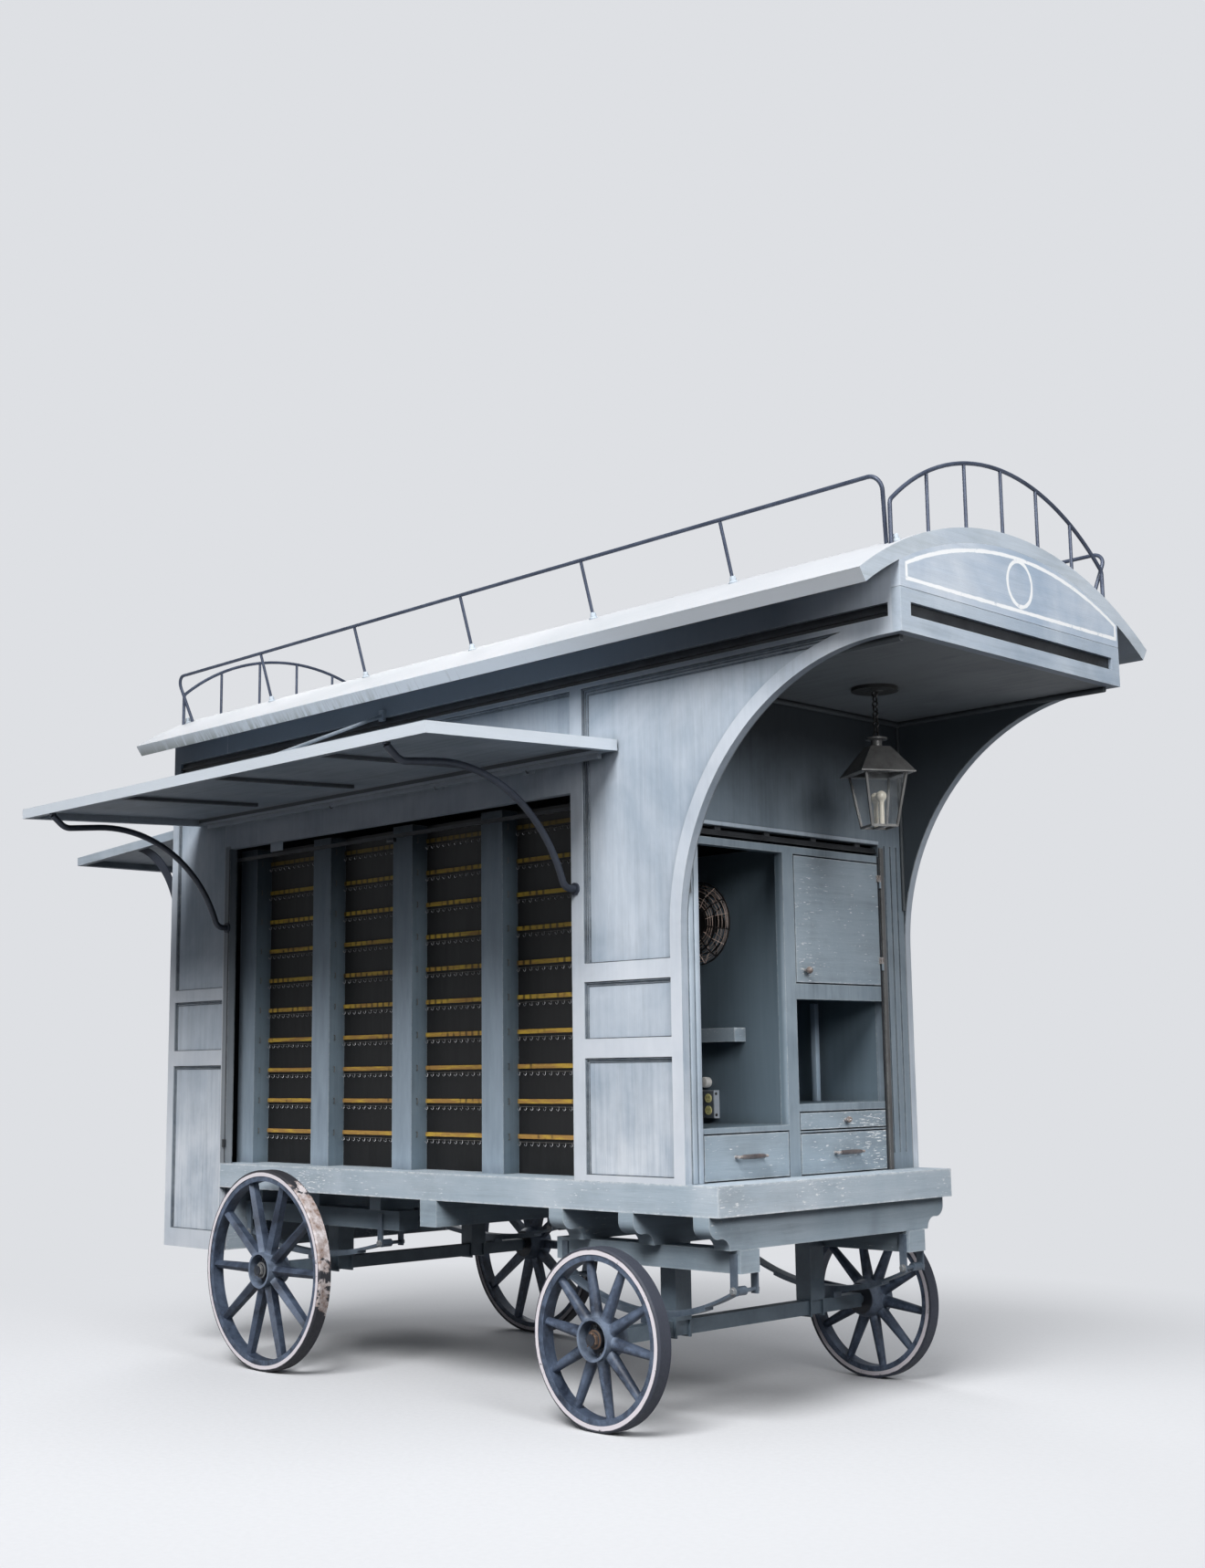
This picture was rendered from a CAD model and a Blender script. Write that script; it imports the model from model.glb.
"""Market stall cart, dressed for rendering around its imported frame.

All sizes are metres. Places are given from the datum: the front face of the deck, its centreline and
the ground, with +x towards the canopy and +y towards the side that has no awning.
"""

import logging
import math
from collections.abc import Callable, Iterator, Sequence
from contextlib import contextmanager
from dataclasses import dataclass
from enum import Enum

import bmesh
import bpy
from mathutils import Matrix, Vector


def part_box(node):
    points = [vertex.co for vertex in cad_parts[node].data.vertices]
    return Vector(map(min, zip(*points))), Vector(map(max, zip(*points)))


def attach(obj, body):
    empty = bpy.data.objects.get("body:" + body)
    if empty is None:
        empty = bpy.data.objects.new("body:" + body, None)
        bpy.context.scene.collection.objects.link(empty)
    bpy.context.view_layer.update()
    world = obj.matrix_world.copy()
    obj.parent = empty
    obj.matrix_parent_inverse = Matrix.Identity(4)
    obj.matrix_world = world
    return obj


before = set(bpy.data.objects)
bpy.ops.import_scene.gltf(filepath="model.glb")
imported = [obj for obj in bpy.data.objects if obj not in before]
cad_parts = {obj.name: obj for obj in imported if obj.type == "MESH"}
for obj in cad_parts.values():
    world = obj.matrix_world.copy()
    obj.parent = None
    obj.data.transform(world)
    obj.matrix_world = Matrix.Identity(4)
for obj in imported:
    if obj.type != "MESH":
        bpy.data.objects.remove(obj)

log = logging.getLogger("cart")
CART = "cart"
Point = tuple[float, float, float]
Colour = tuple[float, float, float]
Piece = bpy.types.Object
Socket = bpy.types.NodeSocket
Steps = Sequence[tuple[float, float]]


def datum() -> Vector:
    """Place of the datum in the frame: the deck's front face, its centreline and the ground."""
    low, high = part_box("deck")
    return Vector((high.x, (low.y + high.y) / 2, 0.0))


DATUM = datum()


def at(x: float, y: float, z: float) -> Vector:
    """Point in the frame from its place off the datum."""
    return DATUM + Vector((x, y, z))


def along_x(x: float) -> float:
    """Frame's x of a place off the datum."""
    return at(x, 0, 0).x


def paint(red: int, green: int, blue: int) -> Colour:
    """Linear colour from its values as they show on a screen, 0 to 255.

    Args:
        red: Its red, from 0 to 255.
        green: Its green, from 0 to 255.
        blue: Its blue, from 0 to 255.

    Returns:
        The colour in linear values.
    """

    def linear(value: float) -> float:
        """Linear value of one channel."""
        share = value / 255
        return share / 12.92 if share <= 0.04045 else ((share + 0.055) / 1.055) ** 2.4

    return (linear(red), linear(green), linear(blue))


def opaque(colour: Colour) -> tuple[float, float, float, float]:
    """Colour with full alpha, as a socket wants it."""
    return (*colour, 1.0)


# Bench work


def pick(*pieces: Piece) -> None:
    """Selects these pieces alone.

    Args:
        pieces: The pieces, of which the first becomes active. With none, nothing stays selected.
    """
    if bpy.context.object and bpy.context.object.mode != "OBJECT":
        bpy.ops.object.mode_set(mode="OBJECT")
    bpy.ops.object.select_all(action="DESELECT")
    for piece in pieces:
        piece.select_set(True)
    if pieces:
        bpy.context.view_layer.objects.active = pieces[0]


@contextmanager
def editing(piece: Piece) -> Iterator[bmesh.types.BMesh]:
    """Edit mode on one piece with nothing selected.

    Args:
        piece: The piece to work on.

    Yields:
        The piece's edit mesh.
    """
    pick(piece)
    bpy.ops.object.mode_set(mode="EDIT")
    bpy.ops.mesh.select_mode(type="FACE")
    bpy.ops.mesh.select_all(action="DESELECT")
    yield bmesh.from_edit_mesh(piece.data)
    bpy.ops.object.mode_set(mode="OBJECT")


def select_faces(piece: Piece, mesh: bmesh.types.BMesh, test: Callable[[Vector, Vector], bool]) -> int:
    """Selects the faces that pass a test on their middle and normal.

    Args:
        piece: The piece in edit mode.
        mesh: Its edit mesh.
        test: Takes a face's middle and its normal.

    Returns:
        How many faces are selected.
    """
    found = 0
    for face in mesh.faces:
        chosen = test(face.calc_center_median(), face.normal)
        face.select_set(chosen)
        found += chosen
    mesh.select_flush_mode()
    bmesh.update_edit_mesh(piece.data)
    return found


def settle(piece: Piece, name: str) -> Piece:
    """Names a piece and puts its place, turn and scale into its mesh.

    Args:
        piece: The piece.
        name: Name for the piece and its mesh.

    Returns:
        The same piece.
    """
    piece.name = name
    piece.data.name = name
    pick(piece)
    bpy.ops.object.transform_apply(location=True, rotation=True, scale=True)
    return piece


def ease(piece: Piece, width: float, segments: int = 2, angle: float = 35.0) -> Piece:
    """Rounds a piece's sharp edges.

    Args:
        piece: The piece.
        width: Width of the rounding.
        segments: Its number of facets.
        angle: Edges sharper than this many degrees are rounded.

    Returns:
        The same piece.
    """
    pick(piece)
    bevel = piece.modifiers.new("ease", "BEVEL")
    bevel.width = width
    bevel.segments = segments
    bevel.limit_method = "ANGLE"
    bevel.angle_limit = math.radians(angle)
    bpy.ops.object.modifier_apply(modifier=bevel.name)
    bpy.ops.object.shade_smooth_by_angle(angle=math.radians(40))
    return piece


def smooth(piece: Piece, angle: float = 40.0) -> Piece:
    """Shades a piece smooth over edges blunter than the angle in degrees.

    Args:
        piece: The piece.
        angle: Angle in degrees up to which an edge is shaded smooth.

    Returns:
        The same piece.
    """
    pick(piece)
    bpy.ops.object.shade_smooth_by_angle(angle=math.radians(angle))
    return piece


def board(name: str, low: Vector, high: Vector, rounding: float = 0.002) -> Piece:
    """Straight piece of timber or bar between two corners, with eased edges.

    Args:
        name: Name of the piece.
        low: Its corner with the lowest values.
        high: Its corner with the highest values.
        rounding: Width of the eased edges.

    Returns:
        The piece.
    """
    pick()
    bpy.ops.mesh.primitive_cube_add(size=1.0, location=(low + high) / 2)
    piece = bpy.context.object
    piece.scale = high - low
    settle(piece, name)
    return ease(piece, rounding)


def turned(name: str, base: Vector, axis: Vector, steps: Steps, sides: int = 24) -> Piece:
    """Round piece built up along an axis, ring by ring.

    Args:
        name: Name of the piece.
        base: Middle of its first ring.
        axis: Direction that it grows in.
        steps: Radius and distance along the axis of each ring.
        sides: Number of corners of each ring.

    Returns:
        The piece, closed at both ends.
    """
    pick()
    first, start = steps[0]
    bpy.ops.mesh.primitive_circle_add(vertices=sides, radius=first, fill_type="NGON", location=(0, 0, start))
    piece = bpy.context.object
    bpy.ops.object.mode_set(mode="EDIT")
    bpy.ops.mesh.select_mode(type="FACE")
    bpy.ops.mesh.select_all(action="SELECT")
    radius, height = first, start
    for wide, along in steps[1:]:
        bpy.ops.mesh.extrude_region_move(TRANSFORM_OT_translate={"value": (0, 0, along - height)})
        share = wide / radius
        bpy.ops.transform.resize(value=(share, share, 1), center_override=(0, 0, start + along))
        radius, height = wide, along
    bpy.ops.mesh.select_all(action="SELECT")
    bpy.ops.mesh.normals_make_consistent(inside=False)
    bpy.ops.object.mode_set(mode="OBJECT")
    piece.rotation_mode = "QUATERNION"
    piece.rotation_quaternion = axis.to_track_quat("Z", "Y")
    piece.location = base + axis.normalized() * start
    settle(piece, name)
    return smooth(piece, 35)


def rod(name: str, points: Sequence[Vector], radius: float, sides: int = 3, closed: bool = False) -> Piece:
    """Round bar or wire along a line of points.

    Args:
        name: Name of the piece.
        points: Points that its centreline goes through.
        radius: Radius of the bar.
        sides: Facets of a quarter of its section, less one.
        closed: Whether the line joins its own start.

    Returns:
        The bar as a closed mesh.
    """
    pick()
    line = bpy.data.curves.new(name, "CURVE")
    line.dimensions = "3D"
    line.bevel_depth = radius
    line.bevel_resolution = sides - 1
    line.use_fill_caps = not closed
    spline = line.splines.new("POLY")
    spline.points.add(len(points) - 1)
    for place, point in zip(spline.points, points):
        place.co = (*point, 1.0)
    spline.use_cyclic_u = closed
    piece = bpy.data.objects.new(name, line)
    bpy.context.scene.collection.objects.link(piece)
    pick(piece)
    bpy.ops.object.convert(target="MESH")
    return smooth(settle(bpy.context.object, name), 50)


def joined(name: str, pieces: Sequence[Piece]) -> Piece:
    """Joins pieces of one finish into one object.

    Args:
        name: Name of the whole.
        pieces: What is joined.

    Returns:
        The whole.
    """
    pick(*pieces)
    if len(pieces) > 1:
        bpy.ops.object.join()
    return settle(bpy.context.object, name)


def row_of(piece: Piece, count: int, step: Vector) -> Piece:
    """Repeats a piece's mesh in a straight row.

    Args:
        piece: The first one.
        count: How many there are in all.
        step: From one to the next.

    Returns:
        The piece, with the whole row in its mesh.
    """
    pick(piece)
    array = piece.modifiers.new("row", "ARRAY")
    array.count = count
    array.use_relative_offset = False
    array.use_constant_offset = True
    array.constant_offset_displace = step
    bpy.ops.object.modifier_apply(modifier=array.name)
    return piece


def fix(piece: Piece, finish: "Finish", body: str = CART) -> Piece:
    """Gives a new piece its finish and the body that it rides on.

    Args:
        piece: The piece.
        finish: Its finish.
        body: Body of the frame that carries it.

    Returns:
        The same piece.
    """
    piece.data.materials.clear()
    piece.data.materials.append(finish.material())
    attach(piece, body)
    log.info("piece %s, %d faces, rides on %s", piece.name, len(piece.data.polygons), body)
    return piece


# Node work


class Wiring:
    """Node tree with short calls that add and wire its nodes."""

    def __init__(self, tree: bpy.types.NodeTree) -> None:
        """Keeps the tree and clears it."""
        self.tree = tree
        tree.nodes.clear()

    def add(self, kind: str, inputs: dict | None = None, **settings: object) -> bpy.types.Node:
        """Adds a node.

        Args:
            kind: Its type.
            inputs: Sockets or values for its inputs, by name or place.
            settings: Its own properties.

        Returns:
            The node.
        """
        node = self.tree.nodes.new(kind)
        for key, value in settings.items():
            setattr(node, key, value)
        for key, value in (inputs or {}).items():
            if isinstance(value, Socket):
                self.tree.links.new(value, node.inputs[key])
            else:
                node.inputs[key].default_value = value
        return node

    def sums(self, operation: str, first: Socket | float, second: Socket | float = 0.0) -> Socket:
        """Result of one sum on two values."""
        return self.add("ShaderNodeMath", {0: first, 1: second}, operation=operation).outputs[0]

    def product(self, first: Socket | float, *others: Socket | float) -> Socket:
        """Product of the values, from the first on.

        Args:
            first: The first value.
            others: The values after it.

        Returns:
            The product.
        """
        for other in others:
            first = self.sums("MULTIPLY", first, other)
        return first

    def total(self, first: Socket | float, *others: Socket | float) -> Socket:
        """Sum of the values, from the first on.

        Args:
            first: The first value.
            others: The values after it.

        Returns:
            The sum.
        """
        for other in others:
            first = self.sums("ADD", first, other)
        return first

    def less(self, first: Socket | float, second: Socket | float) -> Socket:
        """First value less the second."""
        return self.sums("SUBTRACT", first, second)

    def size(self, value: Socket) -> Socket:
        """Value without its sign."""
        return self.sums("ABSOLUTE", value)

    def most(self, first: Socket | float, second: Socket | float) -> Socket:
        """Larger of two values."""
        return self.sums("MAXIMUM", first, second)

    def within(self, value: Socket, low: float, high: float, edge: float) -> Socket:
        """Mask that is 1 between two values and fades inwards over an edge."""
        return self.product(self.spread(value, low, low + edge), self.spread(value, high, high - edge))

    def spread(self, value: Socket, low: float, high: float, start: float = 0.0, end: float = 1.0) -> Socket:
        """Value taken from low…high to start…end, and held at the ends."""
        node = self.add("ShaderNodeMapRange", {0: value, 1: low, 2: high, 3: start, 4: end})
        return node.outputs[0]

    def mix(self, share: Socket | float, first: Socket | Colour, second: Socket | Colour) -> Socket:
        """Mix of two colours.

        Args:
            share: Share of the second colour.
            first: The first colour.
            second: The second colour.

        Returns:
            The mixed colour.
        """
        inputs = {0: share}
        for place, colour in ((6, first), (7, second)):
            inputs[place] = colour if isinstance(colour, Socket) else opaque(colour)
        node = self.add("ShaderNodeMix", inputs, data_type="RGBA")
        return node.outputs[2]

    def cloud(
        self, place: Socket, scale: float, detail: float = 4.0, rough: float = 0.55, bend: float = 0.0
    ) -> Socket:
        """Noise value over a place.

        Args:
            place: Place on the piece.
            scale: How fast the noise changes.
            detail: How many finer layers it has.
            rough: How strong the finer layers are.
            bend: How far it is distorted.

        Returns:
            The noise, from 0 to 1.
        """
        inputs = {"Vector": place, "Scale": scale, "Detail": detail, "Roughness": rough, "Distortion": bend}
        return self.add("ShaderNodeTexNoise", inputs).outputs["Fac"]

    def stretched(self, place: Socket, scale: Socket | Point, move: Point = (0, 0, 0)) -> Socket:
        """Place scaled along each axis, after it is moved."""
        shifted = self.add("ShaderNodeVectorMath", {0: place, 1: move}, operation="ADD").outputs[0]
        return self.add("ShaderNodeVectorMath", {0: shifted, 1: scale}, operation="MULTIPLY").outputs[0]

    def streaks(
        self, place: Socket, scale: Socket | Point,
        detail: float = 4.0, rough: float = 0.55, bend: float = 0.0,
    ) -> Socket:
        """Noise value that changes at a rate of its own along each axis."""
        return self.cloud(self.stretched(place, scale), 1.0, detail, rough, bend)

    def length(self, vector: Socket) -> Socket:
        """Length of a vector."""
        return self.add("ShaderNodeVectorMath", {0: vector}, operation="LENGTH").outputs["Value"]

    def toned(self, colour: Socket | Colour, tone: Socket) -> Socket:
        """Colour made lighter or darker by a factor."""
        return self.add("ShaderNodeVectorMath", {0: colour, "Scale": tone}, operation="SCALE").outputs[0]

    def bump(self, height: Socket, strength: float, distance: float) -> Socket:
        """Normal of a fine relief."""
        inputs = {"Strength": strength, "Distance": distance, "Height": height}
        return self.add("ShaderNodeBump", inputs).outputs[0]

    def principled(self, colour: Socket, rough: Socket | float, more: dict) -> bpy.types.Node:
        """Principled shader with a colour, a roughness and more inputs by name."""
        return self.add("ShaderNodeBsdfPrincipled", {"Base Color": colour, "Roughness": rough, **more})

    def off_axle(self, place: Socket, middle: Point) -> tuple[Socket, Socket]:
        """Place off an axle that runs along y.

        Args:
            place: Place on the piece.
            middle: Point of the axle, off the datum.

        Returns:
            The place off that point, and its distance from the axle.
        """
        inputs = {0: place, 1: tuple(at(*middle))}
        off = self.add("ShaderNodeVectorMath", inputs, operation="SUBTRACT").outputs[0]
        return off, self.length(self.stretched(off, (1.0, 0.0, 1.0)))

    def place(self) -> Socket:
        """Object coordinates."""
        return self.add("ShaderNodeTexCoord").outputs["Object"]

    def axes(self, place: Socket) -> dict[str, Socket]:
        """Parts of a place or direction along x, y and z."""
        parts = self.add("ShaderNodeSeparateXYZ", {0: place}).outputs
        return {"x": parts[0], "y": parts[1], "z": parts[2]}

    def facing(self) -> dict[str, Socket]:
        """Parts of the surface's own direction along x, y and z."""
        return self.axes(self.add("ShaderNodeNewGeometry").outputs["Normal"])

    def crossed(self, place: Socket) -> Socket:
        """Place with x and y swapped on faces towards x, so that grain runs across them.

        Args:
            place: Place on the piece.

        Returns:
            The place that the grain reads.
        """
        part = self.axes(place)
        swapped = self.add("ShaderNodeCombineXYZ", {0: part["y"], 1: part["x"], 2: part["z"]}).outputs[0]
        ends = self.spread(self.size(self.facing()["x"]), 0.6, 0.8)
        inputs = {0: ends, 4: place, 5: swapped}
        return self.add("ShaderNodeMix", inputs, data_type="VECTOR").outputs[1]


GROUPS: dict[str, bpy.types.NodeTree] = {}
VECTOR_INPUTS = ("place", "stretch")


def effect(name: str, inputs: dict[str, object], outputs: Sequence[str]) -> Callable:
    """Marks a function as the maker of a shared effect, which is wired once.

    Args:
        name: Name of the effect's node group.
        inputs: Its inputs and their values at first: a number, a colour or a vector.
        outputs: Its outputs, of which the names that end in "colour" are colours.

    Returns:
        A function that adds the effect to a tree, with inputs by name.
    """

    def wrap(build: Callable[[Wiring, dict[str, Socket]], dict[str, Socket]]) -> Callable:
        """Takes the maker and gives back the function that adds the effect.

        Args:
            build: Function that wires the effect.

        Returns:
            Function that adds the effect to a tree.
        """

        def use(wiring: Wiring, **values: object) -> dict[str, Socket]:
            """Adds the effect to a tree, and wires its group the first time.

            Args:
                wiring: Tree of the material.
                values: Its inputs, by name.

            Returns:
                Its outputs, by name.
            """
            if name not in GROUPS:
                tree = bpy.data.node_groups.new(name, "ShaderNodeTree")
                for key, value in inputs.items():
                    kind = "NodeSocketFloat"
                    if isinstance(value, tuple):
                        kind = "NodeSocketVector" if key in VECTOR_INPUTS else "NodeSocketColor"
                    socket = tree.interface.new_socket(key, in_out="INPUT", socket_type=kind)
                    if isinstance(value, tuple):
                        socket.default_value = value if kind == "NodeSocketVector" else opaque(value)
                    else:
                        socket.default_value = value
                for key in outputs:
                    kind = "NodeSocketColor" if key.endswith("colour") else "NodeSocketFloat"
                    tree.interface.new_socket(key, in_out="OUTPUT", socket_type=kind)
                inner = Wiring(tree)
                start = inner.add("NodeGroupInput")
                made = build(inner, {key: start.outputs[key] for key in inputs})
                inner.add("NodeGroupOutput", made)
                GROUPS[name] = tree
            node = wiring.add("ShaderNodeGroup", node_tree=GROUPS[name])
            for key, value in values.items():
                if isinstance(value, Socket):
                    wiring.tree.links.new(value, node.inputs[key])
                elif isinstance(value, tuple) and node.inputs[key].type == "RGBA":
                    node.inputs[key].default_value = opaque(value)
                else:
                    node.inputs[key].default_value = value
            return {key: node.outputs[key] for key in outputs}

        return use

    return wrap


@effect(
    "weathered_paint",
    {"place": (0.0, 0.0, 0.0), "paint": (0.3, 0.3, 0.3), "faded": (0.5, 0.5, 0.5), "soiled": (0.1, 0.1, 0.1),
     "stretch": (1.0, 1.0, 1.0), "fade": 0.5, "soil": 0.5},
    ("colour", "roughness", "height"),
)
def weathered_paint(wiring: Wiring, given: dict[str, Socket]) -> dict[str, Socket]:
    """Brushed paint that has faded in clouds and run in streaks.

    Args:
        wiring: Tree of the group.
        given: The group's inputs.

    Returns:
        Its colour, roughness and height.
    """
    place = given["place"]
    clouds = wiring.cloud(place, 2.1, 5.0, 0.6, 0.4)
    streaks = wiring.streaks(place, given["stretch"], 5.0, 0.6, 0.3)
    finer = wiring.stretched(wiring.stretched(place, given["stretch"]), (7.0, 7.0, 7.0))
    brush = wiring.cloud(finer, 1.0, 3.0, 0.7)
    both = wiring.total(wiring.product(clouds, 1.6), wiring.product(streaks, 0.4))
    pale = wiring.product(wiring.spread(both, 0.74, 1.28), given["fade"])
    colour = wiring.mix(pale, given["paint"], given["faded"])
    low = wiring.cloud(wiring.stretched(place, given["stretch"], (3.1, 7.3, 1.7)), 0.7, 6.0, 0.65, 0.5)
    damp = wiring.cloud(place, 3.3, 5.0, 0.6, 0.5)
    low = wiring.total(wiring.product(low, 0.45), wiring.product(damp, 0.55))
    dirty = wiring.product(wiring.spread(low, 0.48, 0.68), given["soil"])
    colour = wiring.mix(dirty, colour, given["soiled"])
    tone = wiring.spread(brush, 0.3, 0.7, 0.955, 1.045)
    toned = wiring.toned(colour, tone)
    rough = wiring.spread(wiring.total(brush, dirty), 0.3, 1.3, -0.06, 0.14)
    return {"colour": toned, "roughness": rough, "height": wiring.total(brush, streaks)}


@effect(
    "paint_chips",
    {"place": (0.0, 0.0, 0.0), "stretch": (1.0, 1.0, 1.0), "amount": 0.3},
    ("mask",),
)
def paint_chips(wiring: Wiring, given: dict[str, Socket]) -> dict[str, Socket]:
    """Small flakes where paint has come off along the grain.

    Args:
        wiring: Tree of the group.
        given: The group's inputs.

    Returns:
        A mask, 1 where the paint is off.
    """
    place = wiring.stretched(given["place"], given["stretch"])
    flakes = wiring.cloud(place, 1.0, 5.0, 0.62, 0.12)
    patches = wiring.cloud(given["place"], 3.4, 3.0, 0.6)
    level = wiring.total(flakes, wiring.spread(patches, 0.35, 0.7, -0.075, 0.07))
    edge = wiring.spread(given["amount"], 0.0, 1.0, 0.82, 0.52)
    over = wiring.less(level, edge)
    return {"mask": wiring.spread(over, 0.0, 0.02)}


@effect("rubbed_edges", {"place": (0.0, 0.0, 0.0), "amount": 0.5, "reach": 0.006}, ("mask",))
def rubbed_edges(wiring: Wiring, given: dict[str, Socket]) -> dict[str, Socket]:
    """Edges where hands and weather have rubbed the paint.

    Args:
        wiring: Tree of the group.
        given: The group's inputs.

    Returns:
        A mask, strongest on the edge.
    """
    rounded = wiring.add("ShaderNodeBevel", {"Radius": given["reach"]}, samples=3).outputs[0]
    flat = wiring.add("ShaderNodeNewGeometry").outputs["Normal"]
    dot = wiring.add("ShaderNodeVectorMath", {0: rounded, 1: flat}, operation="DOT_PRODUCT")
    along = dot.outputs["Value"]
    turn = wiring.spread(along, 0.98, 0.80)
    broken = wiring.spread(wiring.cloud(given["place"], 38.0, 4.0, 0.65), 0.34, 0.62)
    return {"mask": wiring.product(turn, broken, given["amount"])}


@effect("corner_dirt", {"place": (0.0, 0.0, 0.0), "amount": 0.6, "reach": 0.05}, ("mask",))
def corner_dirt(wiring: Wiring, given: dict[str, Socket]) -> dict[str, Socket]:
    """Dirt that gathers in inner corners and under ledges.

    Args:
        wiring: Tree of the group.
        given: The group's inputs.

    Returns:
        A mask, strongest in the corner.
    """
    open_sky = wiring.add("ShaderNodeAmbientOcclusion", {"Distance": given["reach"]}, samples=4).outputs["AO"]
    shut = wiring.spread(open_sky, 0.92, 0.45)
    broken = wiring.spread(wiring.cloud(given["place"], 14.0, 4.0, 0.6), 0.25, 0.65, 0.35, 1.0)
    return {"mask": wiring.product(shut, broken, given["amount"])}


class Finish:
    """A finish with one material, made when it is first asked for."""

    made: dict[str, bpy.types.Material] = {}
    name: str

    def material(self) -> bpy.types.Material:
        """The finish's material.

        Returns:
            The material.
        """
        if self.name not in Finish.made:
            material = bpy.data.materials.new(self.name)
            material.use_nodes = True
            wiring = Wiring(material.node_tree)
            shader = self.wire(wiring)
            wiring.add("ShaderNodeOutputMaterial", {"Surface": shader.outputs[0]})
            Finish.made[self.name] = material
        return Finish.made[self.name]

    def wire(self, wiring: Wiring) -> bpy.types.Node:
        """Wires the finish and returns its shader node.

        Args:
            wiring: Tree of the material.

        Returns:
            The shader node.
        """
        raise NotImplementedError


class Grain(Enum):
    """Direction of brush marks and streaks, as how fast they change along x, y and z."""

    UP = (48.0, 48.0, 2.2)
    ALONG = (2.2, 48.0, 48.0)
    ACROSS = (48.0, 2.2, 48.0)
    CLOUDY = (5.0, 5.0, 5.0)


@dataclass(frozen=True)
class PaintedTimber(Finish):
    """Old matt paint on boards."""

    name: str
    coat: Colour
    faded: Colour
    soiled: Colour
    under: Colour = paint(206, 210, 212)
    grain: Grain = Grain.UP
    fade: float = 0.6
    soil: float = 0.4
    chips: float = 0.12
    rubbed: float = 0.45
    dirt: float = 0.55
    rough: float = 0.62
    relief: float = 0.25
    edge_reach: float = 0.006

    def extra(self, wiring: Wiring, place: Socket, colour: Socket) -> Socket:
        """Colour after what only this piece has, such as painted lines.

        Args:
            wiring: Tree of the material.
            place: Place on the piece.
            colour: Colour of the coat so far.

        Returns:
            The colour after it.
        """
        return colour

    def wire(self, wiring: Wiring) -> bpy.types.Node:
        """Wires the paint, its flakes, rubbed edges and dirt.

        Args:
            wiring: Tree of the material.

        Returns:
            The shader node.
        """
        place = wiring.place()
        grain = wiring.crossed(place) if self.grain is Grain.ALONG else place
        coat = weathered_paint(
            wiring, place=grain, paint=self.coat, faded=self.faded, soiled=self.soiled,
            stretch=self.grain.value, fade=self.fade, soil=self.soil,
        )
        colour = self.extra(wiring, place, coat["colour"])
        flakes = tuple(value * 4.0 + 20.0 for value in self.grain.value)
        off = paint_chips(wiring, place=grain, stretch=flakes, amount=self.chips)["mask"]
        edges = rubbed_edges(wiring, place=place, amount=self.rubbed, reach=self.edge_reach)["mask"]
        bare = wiring.most(off, edges)
        colour = wiring.mix(bare, colour, self.under)
        dirt = corner_dirt(wiring, place=place, amount=self.dirt)["mask"]
        colour = wiring.mix(dirt, colour, self.soiled)
        height = wiring.less(coat["height"], wiring.product(off, 0.8))
        bump = wiring.bump(height, self.relief, 0.002)
        rough = wiring.total(coat["roughness"], self.rough)
        return wiring.principled(colour, rough, {"Normal": bump, "Specular IOR Level": 0.35})


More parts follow.
